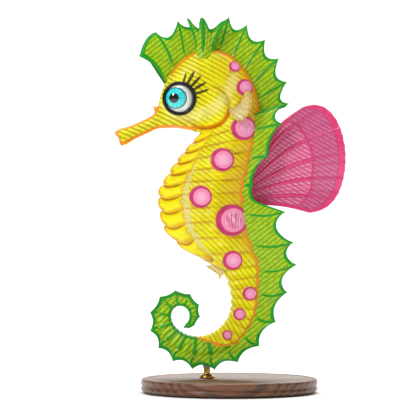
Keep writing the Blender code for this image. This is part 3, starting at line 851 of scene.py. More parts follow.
@dataclass
class Body:
    """The long tube that the skin covers and on which crest and fins stand, sized as the frame's solids are."""

    # station, back (x, z), belly (x, z), half width, how far down it is widest, squareness above and below that
    sections: tuple = (
        (-15.0, (-38.9, 89.0), (-36.6, 84.1), 1.9, 0.50, 2.0, 2.0),
        (-14.0, (-37.1, 89.9), (-34.8, 84.7), 2.0, 0.50, 2.0, 2.0),
        (-13.0, (-34.6, 90.5), (-32.7, 86.2), 1.8, 0.50, 2.0, 2.0),
        (-12.0, (-29.9, 92.4), (-28.1, 88.4), 1.8, 0.50, 2.0, 2.0),
        (-11.0, (-26.0, 94.6), (-24.2, 90.0), 2.1, 0.50, 2.0, 2.0),
        (-10.0, (-24.4, 97.2), (-21.4, 90.1), 3.0, 0.52, 2.0, 2.0),
        (-9.0, (-23.4, 101.3), (-18.4, 90.2), 4.8, 0.50, 2.0, 2.0),
        (-8.0, (-21.8, 105.3), (-15.6, 89.8), 6.2, 0.45, 2.1, 2.0),
        (-7.0, (-18.9, 110.2), (-13.3, 89.3), 6.4, 0.50, 2.1, 2.0),
        (-6.0, (-14.8, 114.3), (-11.9, 88.9), 6.6, 0.55, 2.1, 2.0),
        (-5.0, (-10.0, 116.6), (-11.1, 88.8), 6.8, 0.58, 2.1, 2.0),
        (-4.0, (-5.2, 116.9), (-10.7, 88.8), 6.9, 0.58, 2.1, 2.0),
        (-3.0, (0.1, 115.1), (-10.4, 88.8), 6.7, 0.55, 2.1, 2.0),
        (-2.0, (5.2, 110.4), (-10.2, 88.8), 6.3, 0.50, 2.2, 1.9),
        (-1.0, (8.7, 104.0), (-10.1, 88.7), 6.2, 0.47, 2.3, 1.8),
        (0.0, (10.2, 97.1), (-10.1, 88.2), 6.4, 0.44, 2.4, 1.8),
        (1.0, (10.8, 92.3), (-12.2, 85.6), 6.7, 0.42, 2.4, 1.7),
        (2.0, (10.6, 87.5), (-14.7, 82.4), 7.0, 0.42, 2.4, 1.7),
        (4.0, (9.0, 77.6), (-19.8, 75.1), 7.8, 0.42, 2.4, 1.7),
        (6.0, (7.4, 68.3), (-23.4, 67.1), 8.0, 0.42, 2.4, 1.7),
        (8.0, (8.0, 58.7), (-22.1, 57.5), 7.7, 0.42, 2.4, 1.7),
        (9.5, (9.6, 50.7), (-15.7, 49.5), 6.8, 0.44, 2.6, 1.8),
        (11.0, (11.2, 43.7), (-2.2, 41.5), 5.6, 0.50, 3.0, 2.4),
    )
    last_trunk_ring: int = 11
    tail_rings: int = 35
    tail_length: float = 75.0
    ring_taper: float = 0.966  # each tail ring is this much as long as the one before
    start_heading: float = -79.0  # degrees from X, where the tail leaves the trunk
    # mm along the tail, and how many degrees it turns there in a mm, and half its depth there
    bends: tuple = (
        (0, 0.4), (6, 1.2), (12, 2.8), (20, 3.5), (32, 3.8), (45, 4.8), (50, 6.4), (55, 9.3), (62, 12.2), (75, 12.2),
    )
    depths: tuple = ((0, 6.8), (6, 5.5), (15, 4.7), (28, 4.1), (40, 3.4), (52, 2.6), (62, 1.8), (70, 1.15), (75, 0.6))
    tail_width: float = 0.84  # of its depth
    tail_squareness: float = 3.0
    ridges: tuple[float, ...] = (42.0, 88.0, 132.0, 180.0)  # superior, lateral, inferior and keel, in degrees
    full_depth: float = 11.5  # mm, under which the rings' shape gets smaller with the body
    ring_height: float = 0.6
    ring_width: float = 0.19  # as a share of a ring
    joint_depth: float = 0.52
    joint_width: float = 0.085
    ridge_height: float = 0.6
    ridge_width: float = 8.5  # degrees
    knob_height: float = 1.35
    knob_width: float = 5.0
    plate_swell: float = 1.9
    crest_calm: float = 0.55  # how much of the relief is smoothed away under the crest
    keel_calm: float = 0.5  # and under the tail
    plate_bow: float = 0.34  # how far the plates' lower edges hang down between keel and flank, in rings
    curve: Curve = field(init=False)

    def __post_init__(self) -> None:
        """Lays one smooth line through the trunk's and the tail's sections."""
        rows = [*self.sections, *self.tail_sections()]
        self.curve = Curve([r[0] for r in rows], [(*r[1], *r[2], *r[3:]) for r in rows])

    @property
    def tip(self) -> int:
        """The last station."""
        return self.last_trunk_ring + self.tail_rings

    def tail_sections(self) -> list[tuple]:
        """Follows the tail's bends.

        Returns:
            A section at each joint of its rings.
        """
        bend, depth = of_pairs(self.bends), of_pairs(self.depths)
        lengths = self.ring_taper ** np.arange(self.tail_rings)
        joints = np.concatenate([[0.0], np.cumsum(lengths)]) * self.tail_length / lengths.sum()
        back, belly = self.sections[-1][1], self.sections[-1][2]
        x, z = (back[0] + belly[0]) / 2, (back[1] + belly[1]) / 2
        heading, along, rows, steps = math.radians(self.start_heading), 0.0, [], 12
        for ring in range(1, self.tail_rings + 1):
            step = (joints[ring] - joints[ring - 1]) / steps
            for _ in range(steps):
                heading -= math.radians(float(bend(along))) * step
                x, z, along = x + math.cos(heading) * step, z + math.sin(heading) * step, along + step
            half = float(depth(along))
            out = (-math.sin(heading) * half, math.cos(heading) * half)
            ends = (x + out[0], z + out[1]), (x - out[0], z - out[1])
            square = self.tail_squareness
            rows.append((self.last_trunk_ring + ring, *ends, half * self.tail_width, 0.5, square, square))
        return rows

    def frame_at(self, station: Array) -> tuple[Array, Array, Array, Array]:
        """Reads the sections.

        Args:
            station: Places along the body.

        Returns:
            Their widest points, the directions to their backs, their rows of sizes and their depths.
        """
        row = self.curve(station)
        zero = np.zeros_like(row[..., 0])
        back = np.stack([row[..., 0], zero, row[..., 1]], -1)
        belly = np.stack([row[..., 2], zero, row[..., 3]], -1)
        depth = length(back - belly)
        return back + (belly - back) * row[..., 5:6], (back - belly) / depth[..., None], row, depth

    def plate_place(self, station: Array, angle: Array) -> Array:
        """Counts belly plates: whole numbers are the bowed grooves between them.

        Args:
            station: Places along the body.
            angle: Degrees round it.

        Returns:
            The places among the plates.
        """
        share = np.clip((angle - self.ridges[2] + 4) / (184.0 - self.ridges[2]), 0, 1)
        return station - self.plate_bow * np.sin(math.pi * share) ** 0.8 * ramp(station, 0.2, 1.6)

    def relief(self, station: Array, angle: Array, depth: Array, calm: Numbers = 0.0) -> Array:
        """Shapes the bony rings.

        Args:
            station: Places along the body.
            angle: Degrees round it.
            depth: The body's depth there.
            calm: How much of the rings' shape is smoothed away, from 0 to 1.

        Returns:
            How far the surface stands out from the plain tube, in mm.
        """
        size = np.minimum(1.0, depth / self.full_depth) * np.clip(station + 0.2, 0.0, 1.0)
        phase = station - np.floor(station)
        middle = bell(phase - 0.5, self.ring_width)
        joint = bell(np.minimum(phase, 1 - phase), self.joint_width)
        in_trunk = ramp(station, self.last_trunk_ring + 0.6, self.last_trunk_ring - 0.4)
        ridge, knob = np.zeros_like(angle + station), np.zeros_like(angle + station)
        # The crest stands on the first ridge, which has no knobs, and two of the four run out where the tail begins.
        shares, knobs = (1.0, in_trunk, 1.0, in_trunk * 0.4), (0.0, 1.0, 0.15 + 0.85 * in_trunk, 1.0)
        for place, share, knobbed in zip(self.ridges, shares, knobs):
            ridge = np.maximum(ridge, share * bell(angle - place, self.ridge_width))
            knob = np.maximum(knob, knobbed * share * bell(angle - place, self.knob_width))
        # Every second ring carries the longer knobs, half a ring out of step with the crest's spines.
        beat = 0.62 + 0.38 * np.cos(math.pi * (np.floor(station) % 2))
        low = self.ridges[2]
        belly = ramp(angle, low - 2, low + 7) * ramp(station, 0.1, 0.8) * ramp(station, 11.0, 10.4)
        among = self.plate_place(station, angle) % 1
        from_groove = 2 * np.minimum(among, 1 - among) - 1
        plate = 0.55 - from_groove**2 * np.abs(from_groove) ** 0.7
        swell = self.plate_swell * (0.6 + 0.4 * bump(station - 5.5, 6.5))
        flank = self.ring_height * middle - self.joint_depth * joint - 0.12
        flank = flank + self.ridge_height * ridge * (0.55 + 0.65 * middle)
        flank = flank + self.knob_height * knob * beat * bell(phase - 0.5, 0.2) * (1 - belly)
        # Under the crest's foot the rings are shallow, so that the web has a straight root.
        shallow = 1 - self.crest_calm * bell(angle - self.ridges[0], 15.0)
        shallow = shallow - self.keel_calm * bell(angle - 180, 40.0) * (1 - in_trunk)
        return size * (flank * shallow * (1 - belly) * (1 - calm) + swell * plate * belly)

    def surface(
        self, station: Array, angle: Array, side: Array | int = 1, calm: Numbers = 0.0
    ) -> tuple[Array, Array, Array]:
        """Places points on the tube.

        Args:
            station: Places along the body.
            angle: Degrees round it.
            side: 1 for the right and -1 for the left.
            calm: How much of the rings' shape is smoothed away, from 0 to 1.

        Returns:
            The points in mm, the directions outwards there, and the relief.
        """
        centre, up, row, depth = self.frame_at(station)
        c, s = np.cos(np.radians(angle)), np.sin(np.radians(angle))
        above = c >= 0
        square = np.where(above, row[..., 6], row[..., 7])
        reach = depth * np.where(above, row[..., 5], 1 - row[..., 5])
        rise = np.copysign(np.abs(c) ** (2 / square), c) * reach
        width = np.abs(s) ** (2 / square) * row[..., 4] * side
        out = up * c[..., None] + Y_AXIS * (s * side)[..., None]
        relief = self.relief(station, angle, depth, calm)
        points = centre + up * rise[..., None] + Y_AXIS * width[..., None] + out * relief[..., None]
        return points, out, relief

    def degrees_per_mm(self, station: Array, angle: float) -> Array:
        """How many degrees one mm round the section is, near an angle."""
        near, far = (self.surface(station, np.full_like(station, angle + step))[0] for step in (-2.0, 2.0))
        return 4.0 / np.maximum(length(far - near), 1e-3)


@dataclass
class Spine:
    """A blunt thorn drawn out of the skin."""

    station: float
    angle: float
    way: Triple
    height: float
    radius: float = 1.5


@dataclass
class Skin:
    """One skin from the lips to the tip of the tail, with its eye rings, gill covers, mouth, spines and spots."""

    body: Body
    finish: SkinFinish
    around: int = 112
    # from each station on, how many rings the mesh has in one, and how closely its columns crowd to the eyes' height
    rows_per_station: tuple = ((-14.9, 12), (-11, 16), (-5, 14), (0, 20), (11, 12), (31, 9), (46, 9))
    focus: tuple = ((-15, 0.0), (-11, 0.1), (-9, 0.5), (-6, 0.5), (-3, 0.15), (0, 0.0), (46, 0.0))
    lip_radius: float = 0.55
    lip_rows: int = 8
    mouth_depth: float = 2.4
    mouth_rows: int = 6
    eye_centre: Triple = EYE
    eye_radii: Pair = (4.9, 3.4)  # in the side's plane, and sideways
    orbit_swell: Pair = (1.5, 9.0)  # its height and reach
    eye_opening: float = 4.55
    ring_top: float = 5.3  # where the ring of skin round the eye is highest
    ring_height: float = 0.4
    ring_width: float = 0.62
    wrinkles: int = 15  # to a turn
    wrinkle: float = 0.08
    wrinkled: Pair = (7.6, 1.5)  # the wrinkles' middle and reach, from the eye's middle
    crease: Triple = (0.1, 1.3, 0.45)  # its depth, how far outside the ring's top it lies, and its width
    foot_blend: float = 0.08  # how softly the ring's foot runs out, in square mm
    ring_sink: float = 0.75  # how far the skin lies behind the eye's edge, under the glass
    ring_slope: float = 1.3
    gill_centre: Pair = (-7.4, 97.2)
    gill_radii: Pair = (7.2, 6.9)
    gill_swell: float = 1.5
    gill_groove: Triple = (0.95, 1.06, 0.06)  # its depth, and its place and width as shares of the radii
    gill_folds: int = 18  # to a whole turn
    gill_fold: float = 0.17
    throat_fold: float = 0.2
    snout_ridge: float = 0.12
    nostril_depth: float = 0.55
    fin_root: tuple = ((-0.4, 96.3), (1.2, 97.7), (2.9, 98.9))
    fin_root_swell: Pair = (0.75, 1.5)  # its height and reach
    cheek_centre: Pair = (-13.5, 109.5)
    cheek_radius: float = 15.2
    cheek_reach: Pair = (-61.0, 50.0)  # its middle's bearing and half its length, in degrees
    jaw: tuple = (
        (-37.0, 84.6), (-32.7, 86.7), (-28.1, 88.9), (-24.2, 90.5), (-21.4, 90.6), (-18.4, 90.6), (-14.5, 90.2),
        (-11.0, 90.1), (-7.4, 90.3), (-4.6, 90.9), (-2.2, 92.3), (-0.7, 94.5), (-0.2, 97.2), (-0.5, 99.2),
    )
    back_width: tuple = ((-15, 0.6), (-11, 0.7), (-9, 1.1), (0, 1.25), (12, 1.2), (20, 0.95), (46, 0.6))
    blaze: float = 3.3  # half the greatest width of the back's line on the face
    plate_edge: float = 128.0
    plate_scallop: float = 0.7
    green_from: Pair = (17.6, 6.2)  # the ring where the tail turns green on its back, rings later inside
    spines: tuple[Spine, ...] = (
        Spine(-10.3, 0.0, (-0.65, 0.0, 0.76), 1.9, 1.3),
        Spine(-7.55, 36.0, (-0.1, 0.55, 0.83), 2.4, 1.7),
        Spine(-6.3, 138.0, (-0.05, 0.75, -0.66), 1.9, 1.5),
        Spine(-5.1, 62.0, (0.1, 0.9, 0.42), 0.8, 1.4),
        Spine(-2.6, 52.0, (0.3, 0.85, 0.43), 0.8, 1.4),
        Spine(-0.35, 46.0, (0.4, 0.8, 0.4), 1.2, 1.5),
    )
    # x, z and radius of the round spots on each flank
    spots: tuple = (
        (1.8, 110.9, 2.0), (5.2, 103.8, 2.8), (4.7, 90.0, 4.2), (-2.4, 79.3, 4.0), (-9.7, 66.7, 3.8), (0.7, 58.8, 5.4),
        (1.1, 45.2, 3.3), (6.9, 33.9, 2.4), (3.5, 26.9, 2.1), (-0.7, 19.8, 1.7),
    )
    rim_share: Pair = (0.24, 0.1)  # a rim's width and how far its inner edge lies off centre, by radius
    spot_rim: float = 0.3
    spot_dome: float = 0.4

    def stations(self) -> Array:
        """Where the rings of the mesh lie.

        Returns:
            Rising stations, from the lips' edge to the tail's tip.
        """
        places = []
        for (first, rows), (last, _) in zip(self.rows_per_station, self.rows_per_station[1:]):
            places.append(np.linspace(first, last, round((last - first) * rows), endpoint=False))
        return np.concatenate([*places, [float(self.body.tip)]])

    def angles(self, stations: Array) -> tuple[Array, Array]:
        """Spreads the columns round the body, closer together at the height of the eyes.

        Args:
            stations: The mesh's rings.

        Returns:
            The angle and the side of each point, as (ring, place) tables.
        """
        turn = np.arange(self.around) / self.around * 2
        side = np.where(turn <= 1, 1, -1)
        half = np.where(turn <= 1, turn, 2 - turn)
        focus = of_pairs(self.focus)(stations)[:, None]
        angle = 180 * (half - focus * np.sin(4 * math.pi * half) / (4 * math.pi))
        return angle, np.broadcast_to(side, angle.shape)

    def add_spines(self, points: Array) -> None:
        """Draws the thorns of nose, brows and cheeks out of the surface.

        Args:
            points: The skin's points, which are changed.
        """
        for spine in self.spines:
            for way in Side if spine.way[1] else (Side.RIGHT,):
                root = self.body.surface(np.array(spine.station), np.array(spine.angle), way)[0]
                direction = np.array(spine.way) * (1, way, 1)
                direction /= length(direction)
                away = points - root
                flat = away - (away @ direction)[..., None] * direction
                near = length(away) < spine.radius * 2
                share = np.clip(1 - length(flat) / spine.radius, 0, 1) * near
                points += direction * (spine.height * share**1.5)[..., None]

    def add_gill_covers(self, points: Array, side: Array, station: Array) -> Array:
        """Raises the gill covers, with a groove behind and under them and folds that fan out to it.

        Args:
            points: The skin's points, which are changed.
            side: Each point's side.
            station: Each point's station.

        Returns:
            Each point's distance from the groove's bottom, in mm.
        """
        dx, dz = points[..., 0] - self.gill_centre[0], points[..., 2] - self.gill_centre[1]
        out = np.hypot(dx / self.gill_radii[0], dz / self.gill_radii[1])
        bearing = np.degrees(np.arctan2(dz, dx))
        on_edge = ramp(bearing, -165.0, -120.0) * ramp(bearing, 95.0, 45.0)
        in_head = ramp(station, 0.9, 0.2) * ramp(station, -11.0, -10.0)
        cover = self.gill_swell * (1 - ramp(out, 0.82, 1.0)) * ramp(out, 0.0, 0.8)
        depth, middle, width = self.gill_groove
        groove = depth * bell(out - middle, width)
        folds = np.cos(np.radians(bearing) * self.gill_folds) * ramp(out, 0.35, 0.75) * (1 - ramp(out, 0.85, 0.98))
        there = on_edge * in_head * (np.abs(points[..., 1]) > 1.0)
        points[..., 1] += side * (cover - groove + self.gill_fold * folds) * there
        return np.where(there > 0.3, np.abs(out - 1.04) * self.gill_radii[0], FAR)

    def add_eye_rings(self, points: Array, side: Array) -> Array:
        """Swells the skin round the eyes into wrinkled rims and sinks it under the eyeballs.

        Args:
            points: The skin's points, which are changed.
            side: Each point's side.

        Returns:
            Each point's distance from its eye's middle, in the side's plane.
        """
        dx, dz = points[..., 0] - self.eye_centre[0], points[..., 2] - self.eye_centre[2]
        away = np.hypot(dx, dz)
        bearing = np.arctan2(dz, dx)
        width = np.abs(points[..., 1])
        turned = ramp(width, 1.2, 3.2)
        width = width + self.orbit_swell[0] * bump(away, self.orbit_swell[1]) * turned
        wrinkled, reach = self.wrinkled
        wrinkles = self.wrinkle * np.cos(bearing * self.wrinkles + np.sin(bearing * 3)) * bump(away - wrinkled, reach)
        depth, outside, wide = self.crease
        crease = -depth * bell(away - self.ring_top - outside, wide)
        rim = self.ring_height * bell(away - self.ring_top, self.ring_width)
        edge = self.eye_centre[1] + self.eye_radii[1] * math.sqrt(1 - (self.eye_opening / self.eye_radii[0]) ** 2)
        least = edge + self.ring_height - self.ring_slope * np.maximum(away - self.ring_top, 0) ** 1.5
        width = width + (wrinkles + crease + rim) * turned
        # The ring's foot blends softly into the cheek.
        blend = (width + least + np.sqrt((width - least) ** 2 + self.foot_blend)) / 2
        width = np.where(turned > 0, blend, width)
        risen = ramp(away, self.eye_opening - 0.6, self.ring_top)
        sunk = (edge - self.ring_sink) * (1 - risen) + width * risen
        points[..., 1] = side * np.where((away < self.ring_top) & (turned > 0), sunk, width)
        return away

    def spot_marks(self, points: Array) -> tuple[Array, Array, Array]:
        """Measures from the spots' edges.

        Args:
            points: The skin's points.

        Returns:
            Each point's distance from the nearest outer edge and from its rim's inner edge, both less than 0 inside,
            and that spot's radius.
        """
        shape = points.shape[:-1]
        outer, inner, radius = np.full(shape, 99.0), np.full(shape, 99.0), np.ones(shape)
        width, off = self.rim_share
        for x, z, r in self.spots:
            distance = np.hypot(points[..., 0] - x, points[..., 2] - z) - r
            within = np.hypot(points[..., 0] - x - r * off, points[..., 2] - z) - r * (1 - width)
            nearer = distance < outer
            outer, inner = np.where(nearer, distance, outer), np.where(nearer, within, inner)
            radius = np.where(nearer, r, radius)
        return outer, inner, radius

    def from_line(self, points: Array, line: tuple) -> Array:
        """Measures from a bent line, seen from the side.

        Args:
            points: The skin's points.
            line: The line's corners as (x, z).

        Returns:
            Each point's distance in mm.
        """
        flat = points[..., [0, 2]]
        found = np.full(flat.shape[:-1], 99.0)
        for start, end in zip(np.array(line), np.array(line[1:])):
            way = end - start
            share = np.clip((flat - start) @ way / (way @ way), 0, 1)
            found = np.minimum(found, length(flat - start - share[..., None] * way))
        return found

    def add_lips(self, points: Array, marks: dict[Mark, Array], angle: Array) -> tuple[Array, dict]:
        """Rolls the lips inwards to a small mouth.

        Args:
            points: The skin's points.
            marks: Its attributes.
            angle: The first ring's angles.

        Returns:
            The points and attributes with the mouth's rings in front.
        """
        _, up, _, _ = self.body.frame_at(np.array(self.rows_per_station[0][0]))
        forwards = np.cross(up, Y_AXIS)
        middle = points[0].mean(axis=0)
        lobe = np.abs(np.cos(np.radians(angle))) ** 0.8
        rise = (points[0] - middle) @ up
        flat = points[0] - middle - rise[:, None] * up
        rings = []
        for turn in math.pi * np.arange(self.lip_rows, 0, -1) / self.lip_rows:
            inwards = (1 - math.cos(turn)) / 2
            bulge = math.sin(turn) * self.lip_radius * (0.35 + 0.65 * lobe) - 0.9 * (1 - lobe) * inwards
            closed = flat * (1 - 0.52 * inwards) + up * (rise * (1 - 0.7 * inwards))[:, None]
            rings.append(middle + closed + forwards * bulge[:, None])
        inner = rings[0]
        for share in np.arange(1, self.mouth_rows + 1) / self.mouth_rows:
            rings.insert(0, inner + (middle - inner) * 0.35 * share - forwards * self.mouth_depth * share)
        count = len(rings)
        grown = {mark: np.concatenate([np.repeat(table[:1], count, axis=0), table]) for mark, table in marks.items()}
        grown[Mark.ALONG][:count, :, 0] = np.linspace(-16.5, -14.95, count)[:, None]
        return np.concatenate([np.array(rings), points]), grown

    def folds(self, station: Array, angle: Array) -> Array:
        """Soft folds across the throat, faint ridges along the snout, and the nostrils.

        Args:
            station: Each point's station.
            angle: Its angle.

        Returns:
            How far the skin stands out, in mm.
        """
        on_throat = ramp(station, -2.2, -1.2) * ramp(station, 0.4, -0.2) * bump(angle - 138, 26)
        on_snout = ramp(station, -10.6, -11.6) * ramp(station, -14.4, -13.4)
        throat = self.throat_fold * np.sin(station * 3 * math.pi) * on_throat
        snout = self.snout_ridge * np.cos(np.radians(angle) * 4) * on_snout
        return throat + snout - self.nostril_depth * bell(station + 10.05, 0.09) * bell(angle - 47, 5.5)

    def from_lines(self, points: Array, station: Array, angle: Array) -> tuple[Array, ...]:
        """Measures from the lines that run along the body.

        Args:
            points: The skin's points.
            station: Each point's station.
            angle: Its angle.

        Returns:
            Each point's share of the back line's width, and its distance in mm from the jaw line, past the belly
            plates' edge and above the keel.
        """
        body = self.body
        # The back's line follows the outline on the head and the outer edge of the crest's foot behind it.
        line_angle = of_pairs(((-15, 0.0), (-0.9, 0.0), (1.2, body.ridges[0]), (body.tip, body.ridges[0])))(station)
        centre, up, _, _ = body.frame_at(station)
        line, keel = (body.surface(station, at)[0] for at in (line_angle, np.full_like(angle, 180.0)))
        rise, top, bottom = (((found - centre) * up).sum(axis=-1) for found in (points, line, keel))
        back = np.where(angle > line_angle - 5, np.maximum(top - rise, 0), FAR) / of_pairs(self.back_width)(station)
        back = np.where(station < 0, np.maximum(back, np.abs(points[..., 1]) / self.blaze), back)
        jaw = self.from_line(points, self.jaw) + 0.5 * ramp(points[..., 2], 94.5, 99.0)
        scallop = self.plate_scallop * (4 * (station % 1) * (1 - station % 1) - 0.6)
        edge = (angle - self.plate_edge) / body.degrees_per_mm(station[:, 0], 125.0)[:, None] + scallop
        return back, np.where(station < 0.3, jaw, FAR), edge, rise - bottom

    def from_cheek(self, points: Array) -> Array:
        """Measures from the middle of the cheek's pale band.

        Args:
            points: The skin's points.

        Returns:
            Each point's distance in mm, which grows beyond the band's ends.
        """
        x, z = points[..., 0] - self.cheek_centre[0], points[..., 2] - self.cheek_centre[1]
        aside = np.abs(np.degrees(np.arctan2(z, x)) - self.cheek_reach[0]) - self.cheek_reach[1]
        return np.abs(np.hypot(x, z) - self.cheek_radius) + np.maximum(aside, 0) * 0.12

    def build(self) -> bpy.types.Object:
        """Models the skin and dresses it.

        Returns:
            The piece.
        """
        body, stations = self.body, self.stations()
        angle, side = self.angles(stations)
        station = np.broadcast_to(stations[:, None], angle.shape)
        # Under a spot the rings are nearly flat.
        outer, _, _ = self.spot_marks(body.surface(station, angle, side, 1.0)[0])
        points, out, relief = body.surface(station, angle, side, 0.85 * ramp(outer, 0.8, -0.6))
        # The tail's last ring closes round its tip.
        close = ramp(station, body.tip + 0.1, body.tip - 1.4)[..., None] ** 0.5
        axis = points.mean(axis=1, keepdims=True)
        points = axis + (points - axis) * np.maximum(close, 0.12)
        points = points + out * self.folds(station, angle)[..., None]
        gill_edge = self.add_gill_covers(points, side, station)
        height, reach = self.fin_root_swell
        root = bump(self.from_line(points, self.fin_root), reach) * ramp(np.abs(points[..., 1]), 2.0, 4.0)
        points[..., 1] += side * height * root
        eye = self.add_eye_rings(points, side)
        self.add_spines(points)
        outer, inner, radius = self.spot_marks(points)
        dome = self.spot_dome * np.sqrt(np.clip(-outer / radius, 0, 1)) + self.spot_rim * bell(outer + 0.4, 0.3)
        faces_side = ramp(np.abs(out[..., 1]), 0.25, 0.6)
        points = points + out * (dome * faces_side)[..., None]
        back_line, jaw_line, plate_edge, above_keel = self.from_lines(points, station, angle)
        cheek = np.where(station < 0.6, self.from_cheek(points), FAR)
        past_turn = station - self.green_from[0] - self.green_from[1] * (1 - np.cos(np.radians(angle))) / 2
        marks = {
            Mark.ALONG: (station, angle, relief),
            Mark.LINES: (back_line, jaw_line, plate_edge),
            Mark.FACE: (cheek, eye, past_turn),
            Mark.EDGES: (above_keel, body.plate_place(station, angle), gill_edge),
            Mark.SPOTS: (np.where(faces_side > 0.05, outer, FAR), inner, radius),
        }
        marks = {mark: np.stack(tables, -1) for mark, tables in marks.items()}
        points, marks = self.add_lips(points, marks, angle[0])
        nodes = ["snout", "head", "neck", "trunk_upper", "trunk_lower", *(f"tail_{n}" for n in range(1, 9))]
        return put_up("skin", rolled(points, marks), self.finish.material(), Slot.SKIN, *nodes)


@dataclass
class Web:
    """A membrane with rays in it: a closed sheet round a middle surface."""

    middle: Array  # (across, outwards, 3)
    normal: Array
    half: Array  # half the thickness, (across, outwards)
    mark: Array  # what Mark.WEB says, (across, outwards, 3)

    def mesh(self) -> bmesh.types.BMesh:
        """Closes the sheet.

        Returns:
            The mesh, in mm.
        """
        step = self.normal * self.half[..., None]
        loop = np.concatenate([self.middle + step, (self.middle - step)[:, ::-1]], axis=1)
        marks = np.concatenate([self.mark, self.mark[:, ::-1]], axis=1)
        return rolled(loop, {Mark.WEB: marks})


@dataclass
class Coronet:
    """The crown on top of the head: a wall that rises to five spines round a hollow."""

    finish: CrestFinish
    centre: Triple = (-8.2, 0.0, 115.2)
    lean: float = 5.0  # degrees backwards
    spines: int = 5
    # height, radius, how deep the lobes are, share of the tips
    levels: tuple = (
        (-3.2, 3.5, 0.0, 0.0), (-1.5, 4.4, 0.0, 0.0), (0.4, 3.7, 0.0, 0.0), (2.6, 3.1, 0.05, 0.0),
        (4.8, 3.6, 0.2, 0.05), (6.8, 4.5, 0.45, 0.25), (8.6, 5.2, 0.75, 1.0),
    )
    tip_rise: float = 3.4  # how far the spines stand over the wall
    tip_flare: float = 1.8  # and outside it
    lobe_depth: float = 0.35  # how far the wall draws in between them, as a share of its radius
    small_rib: float = 0.16
    spine_rib: float = 0.35
    wall: float = 0.55
    cup_depth: float = 5.2
    around: int = 160
    rows: int = 44

    @property
    def place(self) -> Matrix:
        """From the crown's own frame to the part's."""
        return Matrix.Translation(self.centre) @ Matrix.Rotation(math.radians(self.lean), 4, "Y")

    def turns(self) -> Array:
        """The columns' places round the crown, in radians."""
        return 2 * math.pi * np.arange(self.around) / self.around

    def ring(self, level: Array, inwards: float) -> Array:
        """One level of the wall.

        Args:
            level: Its height, radius, lobe depth and share of the tips.
            inwards: How far inside the outer wall it lies.

        Returns:
            Its points.
        """
        height, radius, lobe, share = level
        turn = self.turns()
        peak = ((1 + np.cos(self.spines * turn)) / 2) ** 1.6
        r = radius * (1 - self.lobe_depth * lobe * (1 - peak)) + self.tip_flare * share * peak
        if inwards:
            r = np.maximum(r - inwards, 0.25)
        else:
            ribs = self.small_rib * np.cos(self.spines * 4 * turn) + self.spine_rib * bell(1 - peak, 0.12)
            r = r + ribs * min(1.0, max(height, 0.0) / 3)
        return np.stack([-r * np.cos(turn), r * np.sin(turn), height + self.tip_rise * share * peak], -1)

    def keep_out(self, points: Array) -> tuple[Array, Array]:
        """Moves a web's points out of the crown's hollow, to end inside its wall.

        Args:
            points: The web's points in mm, as (column, place up it, 3).

        Returns:
            The moved points, and which columns aren't wholly inside the crown.
        """
        to_crown, back = np.array(self.place.inverted()), np.array(self.place)
        own = points @ to_crown[:3, :3].T + to_crown[:3, 3]
        before = own[..., 0].mean() < 0
        height, radius, lobe, share = (np.array(column) for column in zip(*self.levels))
        # In front of the crown a web meets a spine, and behind it the dip between two.
        if before:
            limit = np.interp(own[..., 2], height + self.tip_rise * share, radius + self.tip_flare * share)
        else:
            limit = np.interp(own[..., 2], height, radius * (1 - self.lobe_depth * lobe))
        way = -1 if before else 1
        limit = limit - self.wall * 0.7
        inside = way * own[..., 0] < limit
        own[..., 0] = np.where(inside, way * limit, own[..., 0])
        outer = ~inside.all(axis=1)
        return own @ back[:3, :3].T + back[:3, 3], outer | np.roll(outer, -way)

    def build(self) -> bpy.types.Object:
        """Models the crown.

        Returns:
            The piece.
        """
        foot, top = self.levels[0][0], self.levels[-1][0]
        curve = Curve([level[0] for level in self.levels], [level[1:] for level in self.levels])
        rings = [self.ring((height, *curve(height)), 0.0) for height in np.linspace(foot, top, self.rows)]
        inner_rows = self.rows // 2
        for share in np.arange(1, inner_rows) / inner_rows:
            height = top - self.cup_depth * share
            radius, lobe, tips = curve(height)
            level = (height, radius * (1 - 0.75 * share**3), lobe, tips * (1 - 0.9 * share))
            rings.append(self.ring(level, self.wall * (0.35 + 0.65 * min(1.0, share * 4))))
        points = np.array(rings)
        sector = 2 * math.pi / self.spines
        from_spine = np.abs((self.turns() / sector + 0.5) % 1 - 0.5) * sector
        to_ray = from_spine * np.hypot(points[..., 0], points[..., 1])
        height = points[..., 2]
        to_margin = np.maximum(height[self.rows - 1] - height, 0.0) * 0.8
        bm = rolled(points, {Mark.WEB: np.stack([to_margin, to_ray, np.clip(height / top, 0, 1)], -1)})
        bmesh.ops.transform(bm, matrix=self.place, verts=bm.verts)
        return put_up("crown", bm, self.finish.material(), Slot.CREST, "coronet")


